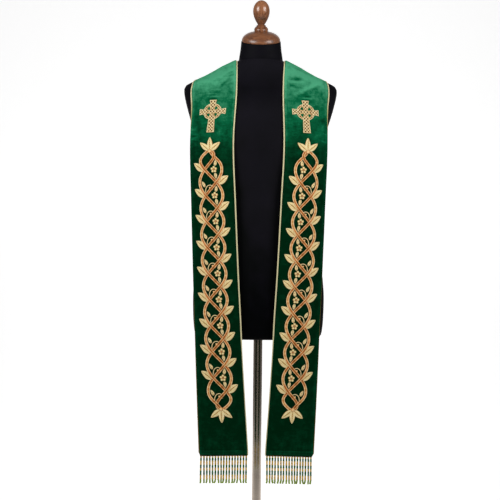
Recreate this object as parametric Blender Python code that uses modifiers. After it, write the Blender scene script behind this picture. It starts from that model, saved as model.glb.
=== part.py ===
"""A clerical stole hung on a limbless dress form, which stands on a steel post and base.

Metres, +Z up. The origin is on the floor under the post, and the front faces -Y. Left is at -X, as
seen by someone who stands in front.
"""

import math
from collections import namedtuple

import bmesh
import bpy
import numpy as np
from mathutils import Matrix, Vector

GAP = 0.0003  # between pieces that touch

# Stand
BASE_RADIUS = 0.180
BASE_THICKNESS = 0.008
BASE_EDGE = 0.0025  # chamfer of the plate's upper rim
BASE_FOOT_EDGE = 0.0010
POST_RADIUS = 0.0135
POST_IN_FORM = 0.090  # how far the post reaches up into the form
SOCKET_WALL = 0.006
SOCKET_HEIGHT = 0.036
SOCKET_EDGE = 0.0015

# Dress form, as sections across the post's axis; power is how square a section is, 2 being an ellipse
Section = namedtuple("Section", "height half_width front back power")
FORM_SECTIONS = [
    Section(0.6135, 0.1770, 0.0990, 0.1130, 2.2),
    Section(0.6170, 0.1840, 0.1050, 0.1190, 2.2),
    Section(0.6245, 0.1890, 0.1090, 0.1240, 2.2),
    Section(0.6450, 0.1925, 0.1115, 0.1280, 2.2),
    Section(0.6800, 0.1950, 0.1125, 0.1320, 2.2),
    Section(0.7300, 0.1960, 0.1130, 0.1330, 2.2),
    Section(0.7900, 0.1920, 0.1120, 0.1280, 2.2),
    Section(0.8600, 0.1790, 0.1100, 0.1160, 2.2),
    Section(0.9300, 0.1640, 0.1080, 0.1050, 2.2),
    Section(0.9900, 0.1580, 0.1080, 0.1000, 2.2),
    Section(1.0600, 0.1620, 0.1120, 0.1020, 2.25),
    Section(1.1300, 0.1730, 0.1180, 0.1100, 2.3),
    Section(1.2000, 0.1880, 0.1225, 0.1180, 2.3),
    Section(1.2600, 0.2080, 0.1205, 0.1200, 2.4),
    Section(1.3000, 0.2195, 0.1140, 0.1160, 2.5),
    Section(1.3300, 0.2265, 0.1040, 0.1090, 2.5),
    Section(1.3450, 0.2285, 0.0975, 0.1040, 2.5),
    Section(1.3545, 0.2282, 0.0925, 0.1000, 2.45),
    Section(1.3640, 0.2230, 0.0880, 0.0963, 2.4),
    Section(1.3725, 0.2080, 0.0835, 0.0928, 2.35),
    Section(1.3845, 0.1775, 0.0775, 0.0882, 2.3),
    Section(1.4040, 0.1395, 0.0695, 0.0812, 2.2),
    Section(1.4205, 0.1120, 0.0628, 0.0745, 2.1),
    Section(1.4330, 0.0845, 0.0580, 0.0690, 2.0),
    Section(1.4382, 0.0693, 0.0560, 0.0655, 2.0),
    Section(1.4440, 0.0656, 0.0550, 0.0625, 2.0),
    Section(1.4540, 0.0645, 0.0545, 0.0605, 2.0),
    Section(1.4700, 0.0620, 0.0540, 0.0585, 2.0),
    Section(1.5000, 0.0590, 0.0550, 0.0570, 2.0),
]
RING_SPACING = 0.036
FORM_SIDES = 40
NECK_FOOT = 1.452  # the neck's rings start to lean forward here
NECK_TOP = 1.500
NECK_TILT = math.radians(21)

# Turned cap and finial, along the neck's tilted axis
CAP_RADIUS = 0.0576
CAP_RIM = 0.0020  # height of the edge that turns under
CAP_UNDER = 0.0012  # how far it turns under
CAP_DOME = 0.0286  # height of the full dome above the rim
CAP_POWER = 0.93  # below 1 the dome is fuller than an ellipse
CAP_FLAT = 0.0208  # radius of the seat under the finial
COLLAR = [  # radius and height of the finial's collar, from the egg's waist down
    (0.0101, 0.0200), (0.0133, 0.0187), (0.0142, 0.0172), (0.0138, 0.0160), (0.0181, 0.0125), (0.0178, 0.0117),
    (0.0201, 0.0095), (0.0209, 0.0062), (0.0206, 0.0020), (0.0200, 0.0),
]
WAIST_RADIUS = 0.0097
WAIST_HEIGHT = 0.0202
EGG_RADIUS = 0.0249
EGG_WIDEST = 0.0596
EGG_POWER = 0.90  # below 1 the egg is fuller towards its waist
FINIAL_HEIGHT = 0.0918
TURNED_SIDES = 32

# Stole: each half runs from the centre-back seam round the neck, over the shoulder and down the front
STOLE_WALL = 0.0020
STOLE_WIDTH = 0.1360  # velvet between the two rows of piping
SHOULDER_TUCK = 0.07  # share of the width that wrinkles take up on the shoulder's ridge
CLEARANCE = 0.0014  # under the cloth where it lies on the form
HANG_CLEARANCE = 0.0018  # behind the hanging panels
HUB_HEIGHT = 1.330  # lines across the shoulder fan out from the form's axis at this height
NECK_EASE = 0.0078  # velvet's inner edge to the neck
HEM_HEIGHT = 0.281
HANG_FROM = 1.150  # below this the panels flatten towards the hem
FLATTENING = 4.5  # higher keeps the round of the form further down
HEM_TURN = math.radians(7)  # how far the hems face outwards
HEM_LEAN = math.radians(2.4)  # each hem is square to its panel, which hangs towards the middle
BACK_LINES = 12
SHOULDER_LINES = 8
FRONT_LINES = 24
FRONT_SPREAD = 1.4  # the front's lines are closer together at the chest
COLUMNS = 6
EdgePlace = namedtuple("EdgePlace", "height across sway")
INNER_EDGE = [  # how far across the velvet's inner edge is, and how far both halves hang to one side
    EdgePlace(0.281, 0.0261, -0.0015),
    EdgePlace(0.443, 0.0372, -0.0020),
    EdgePlace(0.558, 0.0445, -0.0026),
    EdgePlace(0.673, 0.0507, -0.0034),
    EdgePlace(0.788, 0.0576, -0.0036),
    EdgePlace(0.903, 0.0633, -0.0038),
    EdgePlace(1.018, 0.0685, -0.0042),
    EdgePlace(1.133, 0.0746, -0.0044),
    EdgePlace(1.191, 0.0757, -0.0045),
    EdgePlace(1.248, 0.0735, -0.0040),
    EdgePlace(1.306, 0.0701, -0.0030),
    EdgePlace(1.390, 0.0698, -0.0015),
    EdgePlace(1.440, 0.0732, 0.0000),
]
PIPING_RADIUS = 0.0022
HEM_CORD_RADIUS = 0.0010
FRINGE_LENGTH = 0.0775
FRINGE_THICKNESS = 0.0034

# Cross on each panel, with a ring round its middle
CROSS_HEIGHT = 1.274  # of the middle of its arms
CROSS_PLACE = 0.063  # from the velvet's inner edge
CROSS_TURN = math.radians(2.8)  # its foot is turned outwards
CROSS_WALL = 0.0012
CROSS_LIFT = 0.0007  # above the velvet's outer face
CROSS_TOP = 0.0340
CROSS_FOOT = 0.0610
CROSS_ARM = 0.0405
ARM_WAIST = 0.0075  # half the arms' width where they leave the ring
ARM_END = 0.0098
FOOT_END = 0.0115
RING_RADIUS = 0.0260
RING_ARC_STEPS = 6
EYE_PLACE = 0.0100  # each of the four eyes is this far across and up
EYE_RADIUS = 0.0031

Finish = namedtuple("Finish", "colour roughness metallic")
FINISHES = {
    "velvet": Finish((0.004, 0.085, 0.040), 0.85, 0.0),
    "gold_cord": Finish((0.55, 0.47, 0.24), 0.60, 0.0),
    "gold_embroidery": Finish((0.66, 0.47, 0.22), 0.55, 0.0),
    "bead_fringe": Finish((0.22, 0.22, 0.08), 0.35, 0.0),
    "black_jersey": Finish((0.010, 0.010, 0.013), 0.90, 0.0),
    "turned_wood": Finish((0.26, 0.10, 0.040), 0.30, 0.0),
    "steel": Finish((0.45, 0.42, 0.38), 0.32, 1.0),
}

TAU = 2 * math.pi


# Scene

def clear_scene():
    for thing in list(bpy.data.objects):
        bpy.data.objects.remove(thing, do_unlink=True)


def new_collection(name):
    collection = bpy.data.collections.new(name)
    bpy.context.scene.collection.children.link(collection)
    return collection


def new_material(name):
    finish = FINISHES[name]
    material = bpy.data.materials.new(name)
    material.use_nodes = True
    shader = material.node_tree.nodes["Principled BSDF"]
    shader.inputs["Base Color"].default_value = (*finish.colour, 1)
    shader.inputs["Roughness"].default_value = finish.roughness
    shader.inputs["Metallic"].default_value = finish.metallic
    return material


def place(name, data, finish):
    """Makes an object of a mesh or a curve, in the part's collection."""
    thing = bpy.data.objects.new(name, data)
    data.materials.append(materials[finish])
    part.objects.link(thing)
    return thing


def mesh_of(name, points, faces, finish):
    mesh = bpy.data.meshes.new(name)
    mesh.from_pydata([tuple(point) for point in points], [], faces)
    mesh.update()
    return place(name, mesh, finish)


def turned(name, profile, finish, sides=TURNED_SIDES):
    """A profile of (radius, height), from the top down its outer side, turned about Z."""
    mesh = bpy.data.meshes.new(name)
    edges = [(i, i + 1) for i in range(len(profile) - 1)]
    mesh.from_pydata([(radius, 0, height) for radius, height in profile], edges, [])
    thing = place(name, mesh, finish)
    screw = thing.modifiers.new("turn", "SCREW")
    screw.steps = sides
    screw.render_steps = sides
    screw.use_merge_vertices = True
    screw.merge_threshold = 0.00001
    screw.use_smooth_shade = True
    return thing


def cord(name, points, radius, finish):
    """A round cord through the points, with closed ends."""
    curve = bpy.data.curves.new(name, "CURVE")
    curve.dimensions = "3D"
    curve.bevel_depth = radius
    curve.bevel_resolution = 1
    curve.use_fill_caps = True
    spline = curve.splines.new("POLY")
    spline.points.add(len(points) - 1)
    for spot, point in zip(spline.points, points):
        spot.co = (*point, 1)
    return place(name, curve, finish)


def solidify(thing, thickness):
    """Gives an open surface its wall, built outwards from it."""
    wall = thing.modifiers.new("wall", "SOLIDIFY")
    wall.thickness = thickness
    wall.offset = 1
    return wall


# Dress form

def curve_through(column):
    """The column's value at any height, on a cubic through the sections that never overshoots them."""
    heights = np.array([section.height for section in FORM_SECTIONS])
    values = np.array([getattr(section, column) for section in FORM_SECTIONS])
    steps = np.diff(values) / np.diff(heights)
    slopes = np.zeros(len(values))
    for i in range(1, len(values) - 1):
        if steps[i - 1] * steps[i] > 0:
            slopes[i] = 2 / (1 / steps[i - 1] + 1 / steps[i])
    slopes[0] = steps[0]
    slopes[-1] = steps[-1]

    def value(height):
        height = np.clip(height, heights[0], heights[-1])
        i = np.clip(np.searchsorted(heights, height) - 1, 0, len(steps) - 1)
        span = heights[i + 1] - heights[i]
        t = (height - heights[i]) / span
        ends = values[i] * (1 + 2 * t) * (1 - t) ** 2 + values[i + 1] * t * t * (3 - 2 * t)
        return ends + span * (slopes[i] * t * (1 - t) ** 2 - slopes[i + 1] * t * t * (1 - t))

    return value


half_width_at = curve_through("half_width")
front_at = curve_through("front")
back_at = curve_through("back")
power_at = curve_through("power")


def form_ring(height):
    """One section of the form; those of the neck lean forward towards its tilted top."""
    power = power_at(height)
    lean = np.clip((height - NECK_FOOT) / (NECK_TOP - NECK_FOOT), 0, 1) * math.tan(NECK_TILT)
    ring = []
    for k in range(FORM_SIDES):
        angle = TAU * k / FORM_SIDES
        depth = back_at(height) if math.sin(angle) > 0 else front_at(height)
        x = half_width_at(height) * math.copysign(abs(math.cos(angle)) ** (2 / power), math.cos(angle))
        y = depth * math.copysign(abs(math.sin(angle)) ** (2 / power), math.sin(angle))
        ring.append((x, y, height + y * lean))
    return ring


def form_ring_heights():
    """The sections' own heights, with more between those that are far apart."""
    heights = [FORM_SECTIONS[0].height]
    for lower, upper in zip(FORM_SECTIONS, FORM_SECTIONS[1:]):
        parts = math.ceil((upper.height - lower.height) / RING_SPACING)
        for i in range(1, parts + 1):
            heights.append(lower.height + (upper.height - lower.height) * i / parts)
    return heights


def make_form():
    heights = form_ring_heights()
    points = []
    for height in heights:
        points += form_ring(height)
    faces = []
    for i in range(len(heights) - 1):
        for k in range(FORM_SIDES):
            here = i * FORM_SIDES + k
            beside = i * FORM_SIDES + (k + 1) % FORM_SIDES
            faces.append((here, beside, beside + FORM_SIDES, here + FORM_SIDES))
    faces.append(tuple(reversed(range(FORM_SIDES))))
    faces.append(tuple(range(len(points) - FORM_SIDES, len(points))))
    form = mesh_of("form", points, faces, "black_jersey")
    form.data.shade_smooth()
    bore = form.modifiers.new("post bore", "BOOLEAN")
    bore.object = post_bore()
    return form


def post_bore():
    """The blind hole under the form that the post stands in."""
    mesh = bpy.data.meshes.new("post_bore")
    mesh_builder = bmesh.new()
    below = 0.02
    bmesh.ops.create_cone(mesh_builder, cap_ends=True, segments=32, radius1=POST_RADIUS + GAP,
                          radius2=POST_RADIUS + GAP, depth=POST_IN_FORM + below)
    mesh_builder.to_mesh(mesh)
    mesh_builder.free()
    bore = bpy.data.objects.new("post_bore", mesh)
    bore.location.z = FORM_SECTIONS[0].height + (POST_IN_FORM - below) / 2
    bore.display_type = "WIRE"
    bore.hide_render = True
    cutters.objects.link(bore)
    return bore


def neck_matrix(above):
    """Stands a turned piece on the neck's tilted top, at a distance above it."""
    return (Matrix.Translation((0, 0, NECK_TOP)) @ Matrix.Rotation(NECK_TILT, 4, "X")
            @ Matrix.Translation((0, 0, above)))


def cap_profile():
    """The cap's half section from its seat down, and the seat's height."""
    start = math.acos((CAP_FLAT / CAP_RADIUS) ** (1 / CAP_POWER))
    seat_height = CAP_RIM + CAP_DOME * math.sin(start) ** CAP_POWER
    profile = [(0, seat_height), (CAP_FLAT, seat_height)]
    for i in range(1, 11):
        angle = start * (1 - i / 10)
        height = CAP_RIM + CAP_DOME * math.sin(angle) ** CAP_POWER
        profile.append((CAP_RADIUS * math.cos(angle) ** CAP_POWER, height))
    profile += [(CAP_RADIUS - CAP_UNDER, 0), (0, 0)]
    return profile, seat_height


def finial_profile():
    """An egg on a waisted collar, from the tip down; heights are above the collar's foot."""
    profile = [(0, FINIAL_HEIGHT)]
    for i in range(1, 9):
        angle = math.pi / 2 * (1 - i / 8)
        height = EGG_WIDEST + (FINIAL_HEIGHT - EGG_WIDEST) * math.sin(angle)
        profile.append((EGG_RADIUS * math.cos(angle), height))
    for i in range(1, 8):
        swell = math.cos(math.pi / 2 * i / 7) ** EGG_POWER if i < 7 else 0
        radius = WAIST_RADIUS + (EGG_RADIUS - WAIST_RADIUS) * swell
        profile.append((radius, EGG_WIDEST - (EGG_WIDEST - WAIST_HEIGHT) * i / 7))
    return profile + COLLAR + [(0, 0)]


def make_cap_and_finial():
    profile, seat_height = cap_profile()
    cap = turned("neck_cap", profile, "turned_wood")
    cap.matrix_world = neck_matrix(GAP)
    finial = turned("finial", finial_profile(), "turned_wood")
    finial.matrix_world = neck_matrix(seat_height + 2 * GAP)


# Stand

def make_stand():
    rim = [(BASE_RADIUS - BASE_EDGE, BASE_THICKNESS), (BASE_RADIUS, BASE_THICKNESS - BASE_EDGE),
           (BASE_RADIUS, BASE_FOOT_EDGE), (BASE_RADIUS - BASE_FOOT_EDGE, 0)]
    turned("base_plate", [(0, BASE_THICKNESS), *rim, (0, 0)], "steel", 64)
    inner = POST_RADIUS + GAP
    outer = inner + SOCKET_WALL
    low = BASE_THICKNESS + GAP
    high = low + SOCKET_HEIGHT
    socket = [(inner, high), (outer - SOCKET_EDGE, high), (outer, high - SOCKET_EDGE), (outer, low),
              (inner, low), (inner, high)]
    turned("post_socket", socket, "steel")
    top = FORM_SECTIONS[0].height + POST_IN_FORM - GAP
    turned("post", [(0, top), (POST_RADIUS, top), (POST_RADIUS, low), (0, low)], "steel")


# Stole

def form_value(x, y, height):
    """Below 0 inside the form, 0 on its surface and above 0 outside it."""
    depth = np.where(y < 0, front_at(height), back_at(height))
    power = power_at(height)
    return (abs(x) / half_width_at(height)) ** power + (abs(y) / depth) ** power - 1


def outward(points):
    """The form's outward direction at points on it."""
    step = 0.0005
    slopes = []
    for axis in np.eye(3):
        after = form_value(*(points + axis * step).T)
        before = form_value(*(points - axis * step).T)
        slopes.append(after - before)
    slopes = np.stack(slopes, axis=1)
    return slopes / np.linalg.norm(slopes, axis=1)[:, None]


def out_of_form(origins, directions):
    """Where rays from inside the form leave it, moved out by the cloth's clearance."""
    near = np.zeros(len(origins))
    far = np.full(len(origins), 0.3)
    for _ in range(40):
        middle = (near + far) / 2
        inside = form_value(*(origins + directions * middle[:, None]).T) < 0
        near = np.where(inside, middle, near)
        far = np.where(inside, far, middle)
    points = origins + directions * near[:, None]
    return points + outward(points) * CLEARANCE


def inner_edge_at(height, side):
    """How far from the middle a half's inner edge is at a height."""
    heights = [place.height for place in INNER_EDGE]
    across = [place.across + side * place.sway for place in INNER_EDGE]
    spread = 0.03  # rounds the line's corners
    samples = [np.interp(height + shift, heights, across) for shift in np.linspace(-spread, spread, 9)]
    return np.mean(samples, axis=0)


def columns_from(points, past_edge, tuck=0):
    """Points evenly spaced across the stole, from where past_edge turns positive."""
    lengths = np.concatenate([[0], np.cumsum(np.linalg.norm(np.diff(points, axis=0), axis=1))])
    start = np.interp(0, past_edge, lengths)
    wanted = start + np.linspace(0, STOLE_WIDTH * (1 - tuck), COLUMNS + 1)
    return np.stack([np.interp(wanted, lengths, points[:, i]) for i in range(3)], axis=1)


def back_line(azimuth):
    """Across the stole in an upright plane through the neck: 90 degrees is the centre back."""
    elevations = np.radians(np.arange(70, -40, -0.5))  # from the neck down past the shoulder blades
    ways = np.stack([math.cos(azimuth) * np.cos(elevations), math.sin(azimuth) * np.cos(elevations),
                     np.sin(elevations)], axis=1)
    points = out_of_form(np.tile([0, 0, HUB_HEIGHT], (len(ways), 1)), ways)
    neck_side = half_width_at(NECK_FOOT)
    neck_back = back_at(NECK_FOOT)
    neck = 1 / math.hypot(math.cos(azimuth) / neck_side, math.sin(azimuth) / neck_back)
    past_edge = np.hypot(points[:, 0], points[:, 1]) - neck - NECK_EASE
    return columns_from(points, past_edge, SHOULDER_TUCK * math.cos(azimuth))


def shoulder_line(turn, side):
    """Across the stole on the shoulder: a turn of 0 is its ridge and 90 degrees is its front."""
    across = np.arange(0.05, 0.222, 0.001)  # from within the neck to the shoulder's tip
    origins = np.stack([across, np.zeros(len(across)), np.full(len(across), HUB_HEIGHT)], axis=1)
    way = [0, -math.sin(turn), math.cos(turn)]
    points = out_of_form(origins, np.tile(way, (len(across), 1)))
    past_edge = points[:, 0] - inner_edge_at(points[:, 2], side)
    return columns_from(points, past_edge, SHOULDER_TUCK * math.cos(turn))


def front_line(height, side):
    """Across a hanging panel: it clears what is above it, and flattens towards the hem."""
    across = np.arange(0, 0.224, 0.001)
    heights = np.linspace(height, HUB_HEIGHT, 60)[:, None]
    share = np.clip(across / half_width_at(heights), 0, 1) ** power_at(heights)
    reach = (-front_at(heights) * (1 - share) ** (1 / power_at(heights))).min(axis=0)
    edge = inner_edge_at(height, side)
    middle = edge + STOLE_WIDTH / 2
    flat = np.interp(middle, across, reach) + math.tan(HEM_TURN) * (across - middle)
    fall = np.clip((HANG_FROM - height) / (HANG_FROM - HEM_HEIGHT), 0, 1)
    flatness = fall ** FLATTENING
    y = reach + (flat - reach) * flatness - HANG_CLEARANCE
    z = height - (across - middle) * math.tan(HEM_LEAN) * fall
    return columns_from(np.stack([across, y, z], axis=1), across - edge)


def front_height(i):
    """Height of a line across the hanging panel, counted from the chest down."""
    return HUB_HEIGHT + (HEM_HEIGHT - HUB_HEIGHT) * (i / FRONT_LINES) ** FRONT_SPREAD


def stole_rows(side):
    """Rows of points across the stole's inner face, from the centre back to the hem."""
    rows = []
    for i in range(BACK_LINES):
        rows.append(back_line(math.pi / 2 * (1 - i / BACK_LINES)))
    for i in range(SHOULDER_LINES):
        rows.append(shoulder_line(math.pi / 2 * i / SHOULDER_LINES, side))
    for i in range(FRONT_LINES + 1):
        rows.append(front_line(front_height(i), side))
    rows = np.array(rows)
    rows[0, :, 0] = GAP / 2
    rows[:, :, 0] *= side
    return rows


def grid_faces(row_count, column_count, side):
    """Four-sided faces of a grid of points, facing away from the form."""
    faces = []
    for i in range(row_count - 1):
        for j in range(column_count - 1):
            here = i * column_count + j
            below = here + column_count
            if side > 0:
                faces.append((here, below, below + 1, here + 1))
            else:
                faces.append((here, here + 1, below + 1, below))
    return faces


def panel_normals(rows, side):
    """The outward direction at each point of a panel's rows."""
    along = np.gradient(rows, axis=0)
    across = np.gradient(rows, axis=1)
    normals = np.cross(along, across) * side
    return normals / np.linalg.norm(normals, axis=2)[:, :, None]


def edge_path(rows, normals, edge, radius):
    """The centre line of piping sewn along one long edge of a panel."""
    last = edge == "outer"
    edge_points = rows[:, -1 if last else 0]
    next_points = rows[:, -2 if last else 1]
    sideways = edge_points - next_points
    sideways /= np.linalg.norm(sideways, axis=1)[:, None]
    path = edge_points + sideways * (radius + GAP) + normals[:, -1 if last else 0] * radius
    path[0, 0] = math.copysign(GAP, path[1, 0])
    return path


def make_half(name, side):
    rows = stole_rows(side)
    normals = panel_normals(rows, side)
    faces = grid_faces(len(rows), COLUMNS + 1, side)
    panel = mesh_of(f"stole_{name}", rows.reshape(-1, 3), faces, "velvet")
    panel.data.shade_smooth()
    solidify(panel, STOLE_WALL)
    for edge in ("inner", "outer"):
        cord(f"piping_{edge}_{name}", edge_path(rows, normals, edge, PIPING_RADIUS), PIPING_RADIUS,
             "gold_cord")
    make_cross(name, side, rows, normals)
    make_fringe(name, side, rows, normals)


def make_fringe(name, side, rows, normals):
    """The gold cord along a hem, and the solid that the bead strings under it fill."""
    hem = rows[-1] + normals[-1] * STOLE_WALL / 2
    down = np.array([0, 0, -1])
    cord(f"hem_cord_{name}", hem + down * (GAP + HEM_CORD_RADIUS), HEM_CORD_RADIUS, "gold_cord")
    top = rows[-1] + normals[-1] * (STOLE_WALL - FRINGE_THICKNESS) / 2
    top = top + down * 2 * (GAP + HEM_CORD_RADIUS)
    points = np.concatenate([top, top + down * FRINGE_LENGTH])
    fringe = mesh_of(f"fringe_{name}", points, grid_faces(2, COLUMNS + 1, side), "bead_fringe")
    solidify(fringe, FRINGE_THICKNESS)


# Cross

def cross_outline():
    """The cross with its ring, as points about the middle of its arms: across, and up."""
    start = math.asin(ARM_WAIST / RING_RADIUS)
    ends = [  # the two corners of each arm's end, clockwise from the top
        ((-ARM_END, CROSS_TOP), (ARM_END, CROSS_TOP)),
        ((CROSS_ARM, ARM_END), (CROSS_ARM, -ARM_END)),
        ((FOOT_END, -CROSS_FOOT), (-FOOT_END, -CROSS_FOOT)),
        ((-CROSS_ARM, -ARM_END), (-CROSS_ARM, ARM_END)),
    ]
    outline = []
    for quarter, corners in enumerate(ends):
        outline += corners
        first = math.pi / 2 * (1 - quarter) - start
        last = -math.pi / 2 * quarter + start
        for i in range(RING_ARC_STEPS + 1):
            angle = first + (last - first) * i / RING_ARC_STEPS
            outline.append((RING_RADIUS * math.cos(angle), RING_RADIUS * math.sin(angle)))
    return outline


def eye_outline(across, up):
    return [(across + EYE_RADIUS * math.cos(TAU * k / 8), up + EYE_RADIUS * math.sin(TAU * k / 8))
            for k in range(8)]


def flat_cross():
    """The cross as a flat closed mesh, standing in X and Y."""
    curve = bpy.data.curves.new("flat_cross", "CURVE")
    curve.dimensions = "2D"
    curve.fill_mode = "BOTH"
    curve.extrude = CROSS_WALL / 2
    outlines = [cross_outline()]
    for across in (-EYE_PLACE, EYE_PLACE):
        for up in (-EYE_PLACE, EYE_PLACE):
            outlines.append(eye_outline(across, up))
    for outline in outlines:
        spline = curve.splines.new("POLY")
        spline.points.add(len(outline) - 1)
        for spot, point in zip(spline.points, outline):
            spot.co = (*point, 0, 1)
        spline.use_cyclic_u = True
    guide = bpy.data.objects.new("flat_cross", curve)
    cutters.objects.link(guide)
    bpy.context.view_layer.update()
    mesh = bpy.data.meshes.new_from_object(guide.evaluated_get(bpy.context.evaluated_depsgraph_get()))
    bpy.data.objects.remove(guide)
    return mesh


def make_cross(name, side, rows, normals):
    """Cuts the flat cross along the panel's own rows and columns, and bends it onto the panel."""
    column_width = STOLE_WIDTH / COLUMNS
    first_front = BACK_LINES + SHOULDER_LINES
    centre = Vector((CROSS_PLACE, HUB_HEIGHT - CROSS_HEIGHT, 0))
    cross = bmesh.new()
    cross.from_mesh(flat_cross())
    bmesh.ops.remove_doubles(cross, verts=cross.verts, dist=0.00001)
    turn = Matrix.Translation(centre) @ Matrix.Rotation(-CROSS_TURN, 4, "Z") @ Matrix.Diagonal((1, -1, 1, 1))
    bmesh.ops.transform(cross, matrix=turn, verts=cross.verts)
    for j in range(1, COLUMNS):
        cut(cross, (j * column_width, 0, 0), (1, 0, 0))
    for i in range(1, FRONT_LINES):
        cut(cross, (0, HUB_HEIGHT - front_height(i), 0), (0, 1, 0))
    for vertex in cross.verts:
        fall = vertex.co.y / (HUB_HEIGHT - HEM_HEIGHT)
        row = first_front + FRONT_LINES * fall ** (1 / FRONT_SPREAD)
        column = vertex.co.x / column_width
        rise = STOLE_WALL + CROSS_LIFT + CROSS_WALL / 2 + vertex.co.z
        vertex.co = blend(rows, row, column) + blend(normals, row, column) * rise
    bmesh.ops.recalc_face_normals(cross, faces=cross.faces)
    if cross.calc_volume(signed=True) < 0:
        bmesh.ops.reverse_faces(cross, faces=cross.faces)
    mesh = bpy.data.meshes.new(f"cross_{name}")
    cross.to_mesh(mesh)
    cross.free()
    place(f"cross_{name}", mesh, "gold_embroidery")


def cut(mesh_builder, point, normal):
    everything = mesh_builder.verts[:] + mesh_builder.edges[:] + mesh_builder.faces[:]
    bmesh.ops.bisect_plane(mesh_builder, geom=everything, plane_co=point, plane_no=normal, dist=0.00001)


def blend(grid, row, column):
    """A grid's value between its points."""
    i = min(int(row), len(grid) - 2)
    j = min(int(column), COLUMNS - 1)
    down = row - i
    across = column - j
    upper = grid[i][j] * (1 - across) + grid[i][j + 1] * across
    lower = grid[i + 1][j] * (1 - across) + grid[i + 1][j + 1] * across
    return Vector(upper * (1 - down) + lower * down)


clear_scene()
part = new_collection("stole_on_form")
cutters = new_collection("cutters")
materials = {name: new_material(name) for name in FINISHES}
make_stand()
make_form()
make_cap_and_finial()
make_half("left", -1)
make_half("right", 1)
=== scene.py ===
import math
import random
from collections import namedtuple

import bpy
import numpy as np
from mathutils import Matrix, Vector
from mathutils.geometry import delaunay_2d_cdt


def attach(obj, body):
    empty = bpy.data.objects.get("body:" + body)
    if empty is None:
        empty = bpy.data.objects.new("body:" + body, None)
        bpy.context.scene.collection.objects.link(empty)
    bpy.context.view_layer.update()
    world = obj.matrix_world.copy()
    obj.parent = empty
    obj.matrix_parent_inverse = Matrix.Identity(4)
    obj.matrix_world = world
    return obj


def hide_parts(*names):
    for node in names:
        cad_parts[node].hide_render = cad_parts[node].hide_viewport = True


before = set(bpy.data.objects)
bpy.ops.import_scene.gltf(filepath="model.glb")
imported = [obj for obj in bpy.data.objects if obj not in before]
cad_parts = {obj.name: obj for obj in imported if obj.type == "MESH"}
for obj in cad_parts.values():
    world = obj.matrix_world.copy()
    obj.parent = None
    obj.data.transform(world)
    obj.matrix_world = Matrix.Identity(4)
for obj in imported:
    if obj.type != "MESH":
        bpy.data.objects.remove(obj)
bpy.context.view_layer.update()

# A clerical stole on its dress form. Metres, +Z up; the front faces -Y, and left is at -X.

dice = random.Random(7)
fullTurn = 2 * math.pi
sides = {"Left": -1, "Right": 1}
gap = 0.0003  # at seams, as in the CAD
justAbove = 0.0001  # how far the backs of stitching lie over the pile


# Camera, light and backdrop

camera = {"place": (-0.0266, -3.0, 0.8745), "lens": 72.0, "roll": 0.586}
softboxes = {  # place, aim, size across and up, and watts
    "keyBox": ((-1.20, -1.09, 1.69), (0, 0, 1.36), (0.85, 0.85), 18.2),
    "fillBox": ((1.20, -1.09, 1.69), (0, 0, 1.36), (0.85, 0.85), 17.0),
}
flags = {  # black cards low in front, which the polished post mirrors: place, and size across and up
    "leftFlag": ((-0.75, -1.70, 0.42), (0.50, 0.68)),
    "rightFlag": ((0.95, -1.60, 0.42), (0.70, 0.68)),
}
room = {  # light from all round, and the paper's glow, none in front of the form and full behind it
    "daylight": 0.15, "paperGlow": 0.68, "glowFrom": -0.6, "glowTo": 0.5,
}
backdrop = {"halfWidth": 1.7, "front": -4.5, "back": 3.0, "height": 4.0, "sweep": 1.2, "steps": 16,
            "underFloor": 0.0002}


def linear(hexColour):
    values = [int(hexColour[i:i + 2], 16) / 255 for i in (1, 3, 5)]
    return tuple(v / 12.92 if v <= 0.04045 else ((v + 0.055) / 1.055) ** 2.4 for v in values) + (1,)


def makeCamera():
    data = bpy.data.cameras.new("studioCamera")
    data.lens = camera["lens"]
    thing = bpy.data.objects.new("studioCamera", data)
    level = Matrix.Rotation(math.radians(90), 4, "X")
    roll = Matrix.Rotation(math.radians(camera["roll"]), 4, "Z")
    thing.matrix_world = Matrix.Translation(camera["place"]) @ level @ roll
    bpy.context.collection.objects.link(thing)
    bpy.context.scene.camera = thing


def makeLights():
    for name, (place, target, size, watts) in softboxes.items():
        data = bpy.data.lights.new(name, "AREA")
        data.shape = "RECTANGLE"
        data.size, data.size_y = size
        data.energy = watts
        thing = bpy.data.objects.new(name, data)
        thing.location = place
        thing.rotation_euler = (Vector(target) - Vector(place)).to_track_quat("-Z", "Y").to_euler()
        bpy.context.collection.objects.link(thing)
    for name, (place, size) in flags.items():
        bpy.ops.mesh.primitive_plane_add(size=1, location=place, rotation=(math.radians(90), 0, 0))
        flag = bpy.context.object
        flag.name = name
        flag.scale = (size[0], size[1], 1)
        flag.rotation_euler.z = -math.atan2(place[0], -place[1])
        flag.data.materials.append(materials["flag"])
        flag.visible_camera = False  # only what is polished shows it
    world = bpy.data.worlds.new("studioWorld")
    world.use_nodes = True
    background = world.node_tree.nodes["Background"]
    background.inputs["Color"].default_value = linear("#ffffff")
    background.inputs["Strength"].default_value = room["daylight"]
    bpy.context.scene.world = world
    bpy.context.scene.view_settings.view_transform = "Standard"


def makeBackdrop():
    b = backdrop
    profile = [(b["front"], 0.0)]
    for i in range(b["steps"] + 1):
        angle = math.pi / 2 * i / b["steps"]
        profile.append((b["back"] - b["sweep"] * (1 - math.sin(angle)), b["sweep"] * (1 - math.cos(angle))))
    profile.append((b["back"], b["height"]))
    points = [(across, y, z) for y, z in profile for across in (-b["halfWidth"], b["halfWidth"])]
    faces = [(2 * i, 2 * i + 1, 2 * i + 3, 2 * i + 2) for i in range(len(profile) - 1)]
    sweep = meshPiece("studioSweep", points, faces, [materials["paper"]])
    sweep.location.z = -b["underFloor"]


# Materials, named for the real finish. A scale is in marks to a metre, and its comment in millimetres

materials = {}


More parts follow.
